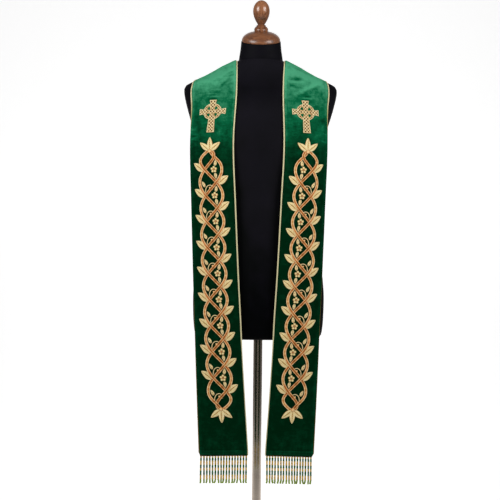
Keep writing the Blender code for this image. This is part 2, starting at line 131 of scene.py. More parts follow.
def newMaterial(name, colour, roughness, settings=()):
    material = bpy.data.materials.new(name)
    material.use_nodes = True
    shader = material.node_tree.nodes["Principled BSDF"]
    values = {"Base Color": linear(colour), "Roughness": roughness, **dict(settings)}
    for key, value in values.items():
        shader.inputs[key].default_value = value
    return material, material.node_tree, shader


def addNode(tree, kind, inputs=(), **settings):
    node = tree.nodes.new(kind)
    for key, value in settings.items():
        setattr(node, key, value)
    for key, value in dict(inputs).items():
        if isinstance(value, bpy.types.NodeSocket):
            tree.links.new(value, node.inputs[key])
        else:
            node.inputs[key].default_value = value
    return node


def setStops(ramp, stops):
    while len(ramp.color_ramp.elements) < len(stops):
        ramp.color_ramp.elements.new(0.5)
    for element, (place, colour) in zip(ramp.color_ramp.elements, stops):
        element.position = place
        element.color = linear(colour)
    return ramp.outputs["Color"]


def colourAndRelief(tree, shader, tone, stops, relief, strength, depth):
    # how most finishes end: colours picked by a tone, and a bump
    ramp = addNode(tree, "ShaderNodeValToRGB", {"Fac": tone})
    tree.links.new(setStops(ramp, stops), shader.inputs["Base Color"])
    bump = addNode(tree, "ShaderNodeBump", {"Height": relief, "Strength": strength, "Distance": depth})
    tree.links.new(bump.outputs["Normal"], shader.inputs["Normal"])


velvet = {
    # stops run from the painted shade of the hanging cloth to the painted light on the shoulders
    "stops": ((0.0, "#022612"), (0.14, "#04351d"), (0.30, "#06492b"), (0.5, "#0b6540"), (1.0, "#4ca67c")),
    "sheenTint": "#3fd68c", "sheen": 0.30, "sheenRoughness": 0.30,
    "patch": 21, "tuft": 2.2,  # millimetres; tufts are coarser than the pile's own 0.3 mm, to show
    "brushMarks": 240, "brushTilt": 9, "brushStretch": (0.22, 0.6, 1.0),  # 4 mm, drawn out sideways
    "mottle": 0.80, "brushing": 0.30, "grain": 0.24, "shadedMottleShare": 0.7,
}


def makeVelvet():
    # cut-pile velvet: its colours picked by painted light and shade carried in an attribute, lightest on
    # the shoulders and where the cloth faces up, with random mottling
    v = velvet
    material, tree, shader = newMaterial("cut_pile_velvet", v["stops"][0][1], 0.9, {
        "Specular IOR Level": 0.0, "Sheen Weight": v["sheen"], "Sheen Roughness": v["sheenRoughness"],
        "Sheen Tint": linear(v["sheenTint"])})
    place = addNode(tree, "ShaderNodeTexCoord").outputs["Object"]
    across = addNode(tree, "ShaderNodeMapping", {
        "Vector": place, "Rotation": (0, math.radians(v["brushTilt"]), 0),
        "Scale": v["brushStretch"]}).outputs[0]
    napAndPaintedLight = addNode(tree, "ShaderNodeAttribute", attribute_name="napAndPaintedLight").outputs["Fac"]
    strength = addNode(tree, "ShaderNodeMapRange", {  # the mottle shows less where the painted shade is deep
        "Value": napAndPaintedLight, "From Min": 0.0, "From Max": 0.7, "To Min": v["shadedMottleShare"], "To Max": 1.0}).outputs[0]
    tone = napAndPaintedLight
    for way, scale, detail, roughness, share in (
            (place, 1000 / v["patch"], 4.0, 0.68, v["mottle"]),
            (across, v["brushMarks"], 3.0, 0.5, v["brushing"]),
            (place, 1000 / v["tuft"], 2.0, 0.5, v["grain"])):
        noise = addNode(tree, "ShaderNodeTexNoise", {
            "Vector": way, "Scale": scale, "Detail": detail, "Roughness": roughness}).outputs["Fac"]
        centred = addNode(tree, "ShaderNodeMath", {0: noise, 1: -0.5}, operation="ADD").outputs[0]
        scaled = addNode(tree, "ShaderNodeMath", {0: centred, 1: share}, operation="MULTIPLY").outputs[0]
        tone = addNode(tree, "ShaderNodeMath", {0: scaled, 1: strength, 2: tone},
                       operation="MULTIPLY_ADD").outputs[0]
    colourAndRelief(tree, shader, tone, v["stops"], noise, 0.5, 0.0005)  # the last noise is the tufts
    materials["velvet"] = material


rayonCord = {
    "stops": ((0.12, "#3a2a0c"), (0.40, "#94763a"), (0.68, "#cabd80"), (0.86, "#faf2c8")),
    "fibres": 900, "fibreShare": 0.4,  # 1.1 mm, coarser than the fibres so that they show
}


def makeCord():
    # twisted rayon cord: silky pale gold, brown-gold where its tone is low: painted shade where the outer
    # piping slips behind the velvet's edge, and the hem cord at the lowest tone
    c = rayonCord
    material, tree, shader = newMaterial("twisted_rayon_cord", "#e2d7a6", 0.6, {"Specular IOR Level": 0.2})
    place = addNode(tree, "ShaderNodeTexCoord").outputs["Object"]
    fibres = addNode(tree, "ShaderNodeTexNoise", {
        "Vector": place, "Scale": c["fibres"], "Detail": 2.0}).outputs["Fac"]
    tone = addNode(tree, "ShaderNodeAttribute", attribute_name="tone").outputs["Fac"]
    blend = addNode(tree, "ShaderNodeMath", {0: fibres, 1: c["fibreShare"], 2: tone},
                    operation="MULTIPLY_ADD")
    colourAndRelief(tree, shader, blend.outputs[0], c["stops"], fibres, 0.4, 0.0003)
    materials["goldCord"] = material


threads = {  # name, and colours from the dips to the light
    "plait": ("bronze_satin_stitch", "#48200a", "#c46c24", "#fbc078", "#ffebb8"),
    "leaf": ("cream_gold_satin_stitch", "#683c16", "#bb8238", "#fadd98", "#fff5c4"),
    "lattice": ("tan_satin_stitch", "#44220a", "#b67e40", "#f3da9e", "#fff8d2"),
}
satin = {"stitches": 400, "shine": 260, "shineShare": 0.62}  # 2.5 and 4 mm, coarser than thread to show


def makeThread(kind):
    # rayon embroidery thread: satin stitches side by side, glossy along each thread; its tone paints shade
    # where the stitches dip and highlight on their ridges
    s = satin
    name, dark, middle, edge, light = threads[kind]
    material, tree, shader = newMaterial(name, middle, 0.5, {"Specular IOR Level": 0.22})
    flow = addNode(tree, "ShaderNodeUVMap", uv_map="stitch").outputs["UV"]
    ridges = addNode(tree, "ShaderNodeTexWave", {
        "Vector": flow, "Scale": s["stitches"], "Distortion": 1.2, "Detail": 1.0, "Detail Scale": 0.4},
        wave_type="BANDS", bands_direction="Y").outputs["Fac"]
    shine = addNode(tree, "ShaderNodeTexNoise", {
        "Vector": flow, "Scale": s["shine"], "Detail": 2.0}).outputs["Fac"]
    tone = addNode(tree, "ShaderNodeAttribute", attribute_name="tone").outputs["Fac"]
    centred = addNode(tree, "ShaderNodeMath", {0: shine, 1: -0.5}, operation="ADD").outputs[0]
    blend = addNode(tree, "ShaderNodeMath", {0: centred, 1: s["shineShare"], 2: tone},
                    operation="MULTIPLY_ADD")
    stops = ((0.0, dark), (0.35, middle), (0.75, edge), (1.0, light))
    colourAndRelief(tree, shader, blend.outputs[0], stops, ridges, 0.5, 0.0003)
    materials[kind] = material


jersey = {
    "stops": ((0.0, "#030405"), (0.3, "#0a090f"), (0.7, "#0f0d15")),
    "knit": 700, "cloud": 14,  # 1.4 mm, coarser than the knit so that it shows, and 70 mm
    # the hollow's painted shade centres at this height, and the throat's tones also shift the colour a
    # little as painted sheen
    "hollowHeight": 1.345, "throatPaintedSheen": 0.0065,
    "fades": {  # painted shade and painted sheen: by which measure, from and to where, and what it adds to the tone at each end
        "hip": ("height", 0.70, 1.05, -0.5, 0.0),
        "flank": ("aside", 0.026, 0.062, 0.0, -0.45),
        "belowChest": ("height", 0.98, 1.22, 1.0, 0.0),
        "underCap": ("height", 1.4365, 1.4395, 0.0, -0.37),
        "neckFoot": ("height", 1.33, 1.42, 0.0, 0.16),
        "hollow": ("fromHollow", 0.0, 0.075, -0.30, 0.0),
        # painted sheen on the upper body, added straight to the colour
        "paintedUpperSheen": ("height", 0.70, 1.00, -0.0008, 0.0030),
    },
}


def makeJersey():
    # black cotton jersey: matt, with a fine knit; painted shade darkens the hip, the flanks beside the
    # stole, the neck under the cap and the hollow of the throat, painted light lifts the foot of the neck,
    # and a little painted sheen lifts the upper body
    j = jersey
    material, tree, shader = newMaterial("black_cotton_jersey", "#0b0a10", 0.6, {
        "Specular IOR Level": 0.04})
    place = addNode(tree, "ShaderNodeTexCoord").outputs["Object"]
    knit = addNode(tree, "ShaderNodeTexNoise", {"Vector": place, "Scale": j["knit"], "Detail": 2.0})
    cloud = addNode(tree, "ShaderNodeTexNoise", {"Vector": place, "Scale": j["cloud"], "Detail": 3.0})
    parts = addNode(tree, "ShaderNodeSeparateXYZ", {"Vector": place})
    height = parts.outputs["Z"]
    aside = addNode(tree, "ShaderNodeMath", {0: parts.outputs["X"]}, operation="ABSOLUTE")
    offHollow = addNode(tree, "ShaderNodeMath", {0: height, 1: -j["hollowHeight"]}, operation="ADD")
    fromHollow = addNode(tree, "ShaderNodeMath", {0: offHollow.outputs[0]}, operation="ABSOLUTE")
    measures = {"height": height, "aside": aside.outputs[0], "fromHollow": fromHollow.outputs[0]}
    fade = {}
    for part, (measure, start, end, first, last) in j["fades"].items():
        fade[part] = addNode(tree, "ShaderNodeMapRange", {
            "Value": measures[measure], "From Min": start, "From Max": end, "To Min": first,
            "To Max": last}).outputs[0]
    shaded = addNode(tree, "ShaderNodeMath", {0: fade["flank"], 1: fade["belowChest"], 2: fade["hip"]},
                     operation="MULTIPLY_ADD").outputs[0]
    throat = fade["underCap"]
    for part in ("neckFoot", "hollow"):
        throat = addNode(tree, "ShaderNodeMath", {0: throat, 1: fade[part]}, operation="ADD").outputs[0]
    tone = cloud.outputs["Fac"]
    for part in (shaded, throat):
        tone = addNode(tree, "ShaderNodeMath", {0: tone, 1: part}, operation="ADD").outputs[0]
    paintedSheen = addNode(tree, "ShaderNodeMath", {0: throat, 1: j["throatPaintedSheen"], 2: fade["paintedUpperSheen"]},
                    operation="MULTIPLY_ADD").outputs[0]
    ramp = addNode(tree, "ShaderNodeValToRGB", {"Fac": tone})
    dyed = addNode(tree, "ShaderNodeVectorMath", {0: setStops(ramp, j["stops"]), 1: paintedSheen}, operation="ADD")
    tree.links.new(dyed.outputs[0], shader.inputs["Base Color"])
    bump = addNode(tree, "ShaderNodeBump", {
        "Height": knit.outputs["Fac"], "Strength": 0.35, "Distance": 0.0004})
    tree.links.new(bump.outputs["Normal"], shader.inputs["Normal"])
    materials["jersey"] = material


wood = {
    "stops": ((0.30, "#42220f"), (0.45, "#5c341e"), (0.62, "#875331"), (0.84, "#ab7049")),
    "flecks": 300, "rings": 60, "ringShare": 0.35, "grainTilt": -21,  # 3 mm and 17 mm
    "cuts": {  # name, how the grain is drawn out, and the coat's roughness
        "wood": ("varnished_stained_beech", (1.0, 1.0, 0.08), 0.22),
        "woodAcross": ("varnished_stained_beech_cross_cut", (0.08, 1.0, 1.0), 0.34),
    },
    # painted shade darkest at the finial's waist; and lighter towards the egg, darker on the cap
    "waistHeight": 1.557, "paintedWaistShade": (0.004, 0.026, -0.16, 0.0), "paler": (1.52, 1.58, -0.08, 0.06),
}


def makeWood(kind):
    # varnished beech stained brown: a glossy coat over fine flecks, with painted shade darkest at the
    # finial's waist
    w = wood
    name, stretch, coatRoughness = w["cuts"][kind]
    material, tree, shader = newMaterial(name, "#855636", 0.5, {
        "Coat Weight": 1.0, "Coat Roughness": coatRoughness, "Coat IOR": 1.65, "Specular IOR Level": 0.12})
    place = addNode(tree, "ShaderNodeTexCoord").outputs["Object"]
    grainwise = addNode(tree, "ShaderNodeMapping", {
        "Vector": place, "Rotation": (math.radians(w["grainTilt"]), 0, 0), "Scale": stretch}).outputs[0]
    flecks = addNode(tree, "ShaderNodeTexNoise", {
        "Vector": grainwise, "Scale": w["flecks"], "Detail": 3.0, "Roughness": 0.65}).outputs["Fac"]
    rings = addNode(tree, "ShaderNodeTexNoise", {
        "Vector": grainwise, "Scale": w["rings"], "Detail": 2.0}).outputs["Fac"]
    grain = addNode(tree, "ShaderNodeMath", {0: rings, 1: w["ringShare"], 2: flecks},
                    operation="MULTIPLY_ADD")
    height = addNode(tree, "ShaderNodeSeparateXYZ", {"Vector": place}).outputs["Z"]
    offWaist = addNode(tree, "ShaderNodeMath", {0: height, 1: -w["waistHeight"]}, operation="ADD")
    fromWaist = addNode(tree, "ShaderNodeMath", {0: offWaist.outputs[0]}, operation="ABSOLUTE").outputs[0]
    fades = []
    for measure, (start, end, first, last) in ((height, w["paler"]), (fromWaist, w["paintedWaistShade"])):
        fades.append(addNode(tree, "ShaderNodeMapRange", {
            "Value": measure, "From Min": start, "From Max": end, "To Min": first,
            "To Max": last}).outputs[0])
    paintedShadeAndPaler = addNode(tree, "ShaderNodeMath", {0: fades[0], 1: fades[1]}, operation="ADD")
    tone = addNode(tree, "ShaderNodeMath", {0: grain.outputs[0], 1: paintedShadeAndPaler.outputs[0]}, operation="ADD")
    ramp = addNode(tree, "ShaderNodeValToRGB", {"Fac": tone.outputs[0]})
    tree.links.new(setStops(ramp, w["stops"]), shader.inputs["Base Color"])
    materials[kind] = material


steel = {
    "stops": ((0.15, "#b2a497"), (0.35, "#ccbfb1"), (0.80, "#f2e6da")),
    "scratches": (20.0, 20.0, 1600.0), "scratchShare": 0.5,  # 50 mm long, 0.6 mm apart to show
    # painted light, brightest at this height on the post
    "paintedLightHeight": 0.33, "paintedLightBand": (0.0, 0.13, 0.5, 0.0),
}


def makeSteel():
    # satin-ground stainless steel: fine rings round the post, and a band of painted light on its lower part
    s = steel
    material, tree, shader = newMaterial("satin_stainless_steel", "#b9b2a6", 0.22, {"Metallic": 1.0})
    place = addNode(tree, "ShaderNodeTexCoord").outputs["Object"]
    rings = addNode(tree, "ShaderNodeMapping", {"Vector": place, "Scale": s["scratches"]}).outputs[0]
    scratches = addNode(tree, "ShaderNodeTexNoise", {
        "Vector": rings, "Scale": 1.0, "Detail": 2.0}).outputs["Fac"]
    height = addNode(tree, "ShaderNodeSeparateXYZ", {"Vector": place}).outputs["Z"]
    offPaintedLight = addNode(tree, "ShaderNodeMath", {0: height, 1: -s["paintedLightHeight"]}, operation="ADD")
    fromPaintedLight = addNode(tree, "ShaderNodeMath", {0: offPaintedLight.outputs[0]}, operation="ABSOLUTE").outputs[0]
    start, end, first, last = s["paintedLightBand"]
    paintedLightBand = addNode(tree, "ShaderNodeMapRange", {
        "Value": fromPaintedLight, "From Min": start, "From Max": end, "To Min": first, "To Max": last}).outputs[0]
    tone = addNode(tree, "ShaderNodeMath", {0: scratches, 1: s["scratchShare"], 2: paintedLightBand},
                   operation="MULTIPLY_ADD")
    colourAndRelief(tree, shader, tone.outputs[0], s["stops"], scratches, 0.04, 0.0002)
    materials["steel"] = material


glass = {"darkBead": ("dark_green_glass", "#0a6014"), "goldBead": ("amber_gold_glass", "#cfa838"),
         "limeBead": ("yellow_green_glass", "#86a01a")}


def makeGlass(kind):
    # pressed glass beads: saturated and glossy, and no two of quite the same depth of colour
    name, colour = glass[kind]
    material, tree, shader = newMaterial(name, colour, 0.25, {"Specular IOR Level": 0.15})
    place = addNode(tree, "ShaderNodeTexCoord").outputs["Object"]
    cloud = addNode(tree, "ShaderNodeTexNoise", {"Vector": place, "Scale": 160.0, "Detail": 1.0})  # 6 mm
    depth = addNode(tree, "ShaderNodeMapRange", {
        "Value": cloud.outputs["Fac"], "From Min": 0.3, "From Max": 0.7, "To Min": 0.7, "To Max": 1.3})
    hue = addNode(tree, "ShaderNodeHueSaturation", {
        "Color": linear(colour), "Fac": 1.0, "Value": depth.outputs[0]})
    tree.links.new(hue.outputs[0], shader.inputs["Base Color"])
    materials[kind] = material


def makePaper():
    # matt background paper, lit from behind so that it comes out white
    material, tree, shader = newMaterial("back_lit_studio_paper", "#e8e8e8", 0.9, {
        "Emission Color": linear("#ffffff")})
    place = addNode(tree, "ShaderNodeTexCoord").outputs["Object"]
    depth = addNode(tree, "ShaderNodeSeparateXYZ", {"Vector": place}).outputs["Y"]
    glow = addNode(tree, "ShaderNodeMapRange", {
        "Value": depth, "From Min": room["glowFrom"], "From Max": room["glowTo"], "To Min": 0.0,
        "To Max": room["paperGlow"]})
    tree.links.new(glow.outputs[0], shader.inputs["Emission Strength"])
    fibre = addNode(tree, "ShaderNodeTexNoise", {"Scale": 300.0, "Detail": 2.0})  # 3 mm, so that it shows
    bump = addNode(tree, "ShaderNodeBump", {
        "Height": fibre.outputs["Fac"], "Strength": 0.05, "Distance": 0.0005})
    tree.links.new(bump.outputs["Normal"], shader.inputs["Normal"])
    materials["paper"] = material


def makeMaterials():
    makeVelvet()
    makeCord()
    makeJersey()
    makeSteel()
    makePaper()
    for kind in wood["cuts"]:
        makeWood(kind)
    for kind in threads:
        makeThread(kind)
    for kind in glass:
        makeGlass(kind)
    materials["flag"] = newMaterial("black_duvetyn", "#050505", 0.9)[0]  # napped cotton, dead black


# Small tools for pieces

def meshPiece(name, points, faces, finishes, faceFinish=None, flows=None, attributes=None):
    # a smooth mesh; flows is a UV place for each point, and attributes one number for each
    mesh = bpy.data.meshes.new(name)
    mesh.from_pydata([tuple(point) for point in points], [], [tuple(face) for face in faces])
    for finish in finishes:
        mesh.materials.append(finish)
    if faceFinish is not None:
        mesh.polygons.foreach_set("material_index", np.asarray(faceFinish, dtype=np.int32))
    if flows is not None:
        corners = np.zeros(len(mesh.loops), dtype=np.int32)
        mesh.loops.foreach_get("vertex_index", corners)
        layer = mesh.uv_layers.new(name="stitch")
        layer.data.foreach_set("uv", np.asarray(flows, dtype=np.float32)[corners].ravel())
    for key, values in (attributes or {}).items():
        layer = mesh.attributes.new(key, "FLOAT", "POINT")
        layer.data.foreach_set("value", np.asarray(values, dtype=np.float32))
    mesh.polygons.foreach_set("use_smooth", np.full(len(mesh.polygons), True))
    mesh.update()
    piece = bpy.data.objects.new(name, mesh)
    bpy.context.collection.objects.link(piece)
    return piece


def register(piece, slot, *nodes):
    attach(piece, "root")
    if nodes:
        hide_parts(*nodes)


def startPiece(name, addPrimitive, **settings):
    bpy.ops.object.select_all(action="DESELECT")
    addPrimitive(**settings)
    piece = bpy.context.object
    piece.name = name
    piece.data.name = name
    return piece


def selectAll():
    bpy.ops.mesh.select_all(action="SELECT")


def finishPiece(piece, finish, sharp=35):
    # doubles are merged and faces turned outwards before it is smoothed
    if bpy.context.mode != "EDIT_MESH":
        bpy.ops.object.mode_set(mode="EDIT")
    selectAll()
    bpy.ops.mesh.remove_doubles(threshold=0.00001)
    selectAll()
    bpy.ops.mesh.normals_make_consistent(inside=False)
    bpy.ops.object.mode_set(mode="OBJECT")
    bpy.ops.object.shade_smooth_by_angle(angle=math.radians(sharp))
    piece.data.materials.clear()
    piece.data.materials.append(finish)
    return piece


def spunPiece(name, profile, finish, steps=96):
    # a profile of (radius, height) extruded point by point from a single vertex, then spun round the axis
    piece = startPiece(name, bpy.ops.mesh.primitive_plane_add, size=0.001)
    bpy.ops.object.mode_set(mode="EDIT")
    bpy.ops.mesh.merge(type="CENTER")
    bpy.ops.transform.translate(value=(profile[0][0], 0, profile[0][1]))
    for (radius, height), (nextRadius, nextHeight) in zip(profile, profile[1:]):
        step = (nextRadius - radius, 0, nextHeight - height)
        bpy.ops.mesh.extrude_region_move(TRANSFORM_OT_translate={"value": step})
    selectAll()
    bpy.ops.mesh.spin(steps=steps, angle=fullTurn, center=(0, 0, 0), axis=(0, 0, 1))
    return finishPiece(piece, finish)


def ramped(value, start, run):
    # 0 up to the start and 1 after the run, which is below 0 where it rises downwards
    return np.clip((value - start) / run, 0, 1)


def unit(vectors):
    return vectors / np.linalg.norm(vectors, axis=-1, keepdims=True)


def lengthsAlong(points):
    return np.concatenate([[0], np.cumsum(np.linalg.norm(np.diff(points, axis=0), axis=1))])


def sampled(points, lengths, wanted):
    return np.stack([np.interp(wanted, lengths, points[:, k]) for k in range(3)], axis=1)


def together(*parts):
    # arrays of like shape, side by side as coordinates
    return np.stack(np.broadcast_arrays(*parts), axis=-1)


def gridFaces(rowCount, columnCount, turned, first=0):
    i, j = np.meshgrid(np.arange(rowCount - 1), np.arange(columnCount - 1), indexing="ij")
    here = (first + i * columnCount + j).ravel()
    corners = [here, here + columnCount, here + columnCount + 1, here + 1]
    return np.stack(corners[::-1] if turned else corners, axis=1)


def sheetFaces(rowCount, columnCount, turned):
    # a grid, a second one behind it, and the wall that closes them all round
    count = rowCount * columnCount
    grid = np.arange(count).reshape(rowCount, columnCount)
    rim = np.concatenate([grid[:, 0], grid[-1, 1:], grid[-2::-1, -1], grid[0, -2:0:-1]])
    after = np.roll(rim, -1)
    wall = np.stack([rim, rim + count, after + count, after], axis=1)
    return np.concatenate([gridFaces(rowCount, columnCount, turned),
                           gridFaces(rowCount, columnCount, not turned, count),
                           wall[:, ::-1] if turned else wall])


# Dress form

Section = namedtuple("Section", "height halfWidth front back power")
formSections = [Section(*row) for row in (  # power is how square a section is, 2 being an ellipse
    (0.6135, 0.1770, 0.0990, 0.1130, 2.2),
    (0.6170, 0.1840, 0.1050, 0.1190, 2.2),
    (0.6245, 0.1890, 0.1090, 0.1240, 2.2),
    (0.6450, 0.1925, 0.1115, 0.1280, 2.2),
    (0.6800, 0.1950, 0.1125, 0.1320, 2.2),
    (0.7300, 0.1960, 0.1130, 0.1330, 2.2),
    (0.7900, 0.1920, 0.1120, 0.1280, 2.2),
    (0.8600, 0.1790, 0.1100, 0.1160, 2.2),
    (0.9300, 0.1640, 0.1080, 0.1050, 2.2),
    (0.9900, 0.1580, 0.1080, 0.1000, 2.2),
    (1.0600, 0.1620, 0.1120, 0.1020, 2.25),
    (1.1300, 0.1730, 0.1180, 0.1100, 2.3),
    (1.2000, 0.1880, 0.1225, 0.1180, 2.3),
    (1.2600, 0.2080, 0.1205, 0.1200, 2.4),
    (1.3000, 0.2195, 0.1140, 0.1160, 2.5),
    (1.3300, 0.2265, 0.1040, 0.1090, 2.5),
    (1.3450, 0.2285, 0.0975, 0.1040, 2.5),
    (1.3545, 0.2282, 0.0925, 0.1000, 2.45),
    (1.3640, 0.2230, 0.0880, 0.0963, 2.4),
    (1.3725, 0.2080, 0.0835, 0.0928, 2.35),
    (1.3845, 0.1775, 0.0775, 0.0882, 2.3),
    (1.4040, 0.1395, 0.0695, 0.0812, 2.2),
    (1.4205, 0.1120, 0.0628, 0.0745, 2.1),
    (1.4330, 0.0845, 0.0580, 0.0690, 2.0),
    (1.4382, 0.0693, 0.0560, 0.0655, 2.0),
    (1.4440, 0.0656, 0.0550, 0.0625, 2.0),
    (1.4540, 0.0645, 0.0545, 0.0605, 2.0),
    (1.4700, 0.0620, 0.0540, 0.0585, 2.0),
    (1.5000, 0.0590, 0.0550, 0.0570, 2.0),
)]
dressForm = {
    "sides": 96, "ringSpacing": 0.012, "neckFoot": 1.452, "neckTop": 1.500, "neckTilt": math.radians(21),
    "postInForm": 0.090, "seamDepth": 0.0007, "seamWidth": 0.0012, "drillStart": 0.02,
}


def curveThrough(column):
    # a cubic through the sections that never overshoots them
    heights = np.array([section.height for section in formSections])
    values = np.array([getattr(section, column) for section in formSections])
    steps = np.diff(values) / np.diff(heights)
    slopes = np.zeros(len(values))
    for i in range(1, len(values) - 1):
        if steps[i - 1] * steps[i] > 0:
            slopes[i] = 2 / (1 / steps[i - 1] + 1 / steps[i])
    slopes[0] = steps[0]
    slopes[-1] = steps[-1]

    def value(height):
        height = np.clip(height, heights[0], heights[-1])
        i = np.clip(np.searchsorted(heights, height) - 1, 0, len(steps) - 1)
        span = heights[i + 1] - heights[i]
        t = (height - heights[i]) / span
        ends = values[i] * (1 + 2 * t) * (1 - t) ** 2 + values[i + 1] * t * t * (3 - 2 * t)
        return ends + span * (slopes[i] * t * (1 - t) ** 2 - slopes[i + 1] * t * t * (1 - t))

    return value


halfWidthAt = curveThrough("halfWidth")
frontAt = curveThrough("front")
backAt = curveThrough("back")
powerAt = curveThrough("power")


def formRingHeights():
    heights = [formSections[0].height]
    for lower, upper in zip(formSections, formSections[1:]):
        parts = math.ceil((upper.height - lower.height) / dressForm["ringSpacing"])
        for i in range(1, parts + 1):
            heights.append(lower.height + (upper.height - lower.height) * i / parts)
    return heights


def shapeForm(piece):
    # the cylinder's points moved out to the sections, with a groove at each seam and the neck's top tilted
    d = dressForm
    tan = math.tan(d["neckTilt"])
    for vertex in piece.data.vertices:
        x, y, height = vertex.co
        size = math.hypot(x, y)
        cos, sin = x / size, y / size
        power = float(powerAt(height))
        depth = float(backAt(height) if sin > 0 else frontAt(height))
        halfWidth = float(halfWidthAt(height))
        atSeam = abs(sin) < 0.002 or (abs(cos) < 0.002 and sin > 0)
        inward = d["seamDepth"] if atSeam else 0
        lean = min(max((height - d["neckFoot"]) / (d["neckTop"] - d["neckFoot"]), 0), 1) * tan
        newX = (halfWidth - inward) * math.copysign(abs(cos) ** (2 / power), cos)
        newY = (depth - inward) * math.copysign(abs(sin) ** (2 / power), sin)
        vertex.co = (newX, newY, height + newY * lean)


def makeDressForm():
    d = dressForm
    heights = formRingHeights()
    low, high = heights[0], heights[-1]
    piece = startPiece("dressForm", bpy.ops.mesh.primitive_cylinder_add, vertices=d["sides"], radius=0.2,
                       depth=high - low, location=(0, 0, (low + high) / 2))
    bpy.ops.object.transform_apply(location=True, rotation=True, scale=True)
    bpy.ops.object.mode_set(mode="EDIT")
    for height in heights[1:-1]:  # one ring for each section and between them
        selectAll()
        bpy.ops.mesh.bisect(plane_co=(0, 0, height), plane_no=(0, 0, 1))
    for shift in (-d["seamWidth"], d["seamWidth"]):  # a line each side of the side seams and the back seam
        selectAll()
        bpy.ops.mesh.bisect(plane_co=(0, shift, 0), plane_no=(0, 1, 0))
        selectAll()
        bpy.ops.mesh.bisect(plane_co=(shift, 0, 0), plane_no=(1, 0, 0))
    bpy.ops.object.mode_set(mode="OBJECT")
    shapeForm(piece)
    bore = startPiece("bore", bpy.ops.mesh.primitive_cylinder_add, vertices=64,
                      radius=stand["postRadius"] + gap, depth=d["postInForm"] + d["drillStart"],
                      location=(0, 0, low + (d["postInForm"] - d["drillStart"]) / 2))
    cut = piece.modifiers.new("bore", "BOOLEAN")
    cut.object = bore
    bpy.ops.object.select_all(action="DESELECT")
    bpy.context.view_layer.objects.active = piece
    piece.select_set(True)
    bpy.ops.object.modifier_apply(modifier="bore")
    bpy.data.objects.remove(bore)
    finishPiece(piece, materials["jersey"], 50)
    register(piece, "black_jersey", "form")
    print("dress form done")


# Turned cap and finial

turnery = {
    "capRadius": 0.0576, "capRim": 0.0020, "capUnder": 0.0012, "capDome": 0.0286, "capFlat": 0.0208,
    "capPower": 0.93, "waist": 0.0097, "waistHeight": 0.0202, "eggRadius": 0.0249, "eggWidest": 0.0596,
    "eggPower": 0.90, "height": 0.0918,
}
collar = [  # radius and height of the collar under the egg, from its waist down
    (0.0101, 0.0200), (0.0116, 0.0193), (0.0133, 0.0187), (0.0141, 0.0178), (0.0142, 0.0168),
    (0.0138, 0.0160), (0.0150, 0.0150), (0.0168, 0.0136), (0.0181, 0.0125), (0.0178, 0.0117),
    (0.0190, 0.0109), (0.0201, 0.0095), (0.0207, 0.0077), (0.0209, 0.0058), (0.0208, 0.0036),
    (0.0205, 0.0016), (0.0200, 0.0)]


def neckMatrix(above):
    # from upright on the floor to square on the tilted neck
    tilt = Matrix.Rotation(dressForm["neckTilt"], 4, "X")
    return Matrix.Translation((0, 0, dressForm["neckTop"])) @ tilt @ Matrix.Translation((0, 0, above))


def capProfile():
    # the profile, and the height of the flat seat on top
    t = turnery
    radius, power, rim, dome = t["capRadius"], t["capPower"], t["capRim"], t["capDome"]
    start = math.acos((t["capFlat"] / radius) ** (1 / power))
    seatHeight = rim + dome * math.sin(start) ** power
    profile = [(0, seatHeight), (t["capFlat"] * 0.5, seatHeight), (t["capFlat"], seatHeight)]
    for i in range(1, 25):
        angle = start * (1 - i / 24)
        profile.append((radius * math.cos(angle) ** power, rim + dome * math.sin(angle) ** power))
    for i in range(1, 7):  # the edge turns under
        angle = math.pi / 2 * i / 6
        profile.append((radius - t["capUnder"] * (1 - math.cos(angle)), rim * (1 - math.sin(angle))))
    return profile + [(0, 0)], seatHeight


def finialProfile():
    t = turnery
    profile = []
    for i in range(17):  # from the egg's top to its widest
        angle = math.pi / 2 * (1 - i / 16)
        height = t["eggWidest"] + (t["height"] - t["eggWidest"]) * math.sin(angle)
        profile.append((t["eggRadius"] * math.cos(angle) if i else 0, height))
    for i in range(1, 21):  # and down to its waist
        swell = max(0, math.cos(math.pi / 2 * i / 20)) ** t["eggPower"]
        radius = t["waist"] + (t["eggRadius"] - t["waist"]) * swell
        profile.append((radius, t["eggWidest"] - (t["eggWidest"] - t["waistHeight"]) * i / 20))
    return profile + collar + [(0, 0)]


def makeCapAndFinial():
    cap, seatHeight = capProfile()
    for name, profile, above, node, finish in (
            ("neckCap", cap, gap, "neck_cap", "woodAcross"),
            ("turnedFinial", finialProfile(), seatHeight + 2 * gap, "finial", "wood")):
        piece = spunPiece(name, profile, materials[finish])
        piece.data.transform(neckMatrix(above))
        register(piece, "turned_wood", node)
    print("cap and finial done")


# Stand

stand = {
    "baseRadius": 0.180, "baseThickness": 0.008, "baseEdge": 0.0025, "footEdge": 0.001,
    "postRadius": 0.0135, "postEdge": 0.001,
    "socketWall": 0.006, "socketHeight": 0.036, "socketEdge": 0.0015,
}


def roundedCorner(radius, height, size, steps=5):
    # the upper outer corner of a profile, rounded
    return [(radius - size * (1 - math.sin(math.pi / 2 * i / steps)),
             height - size * (1 - math.cos(math.pi / 2 * i / steps))) for i in range(steps + 1)]


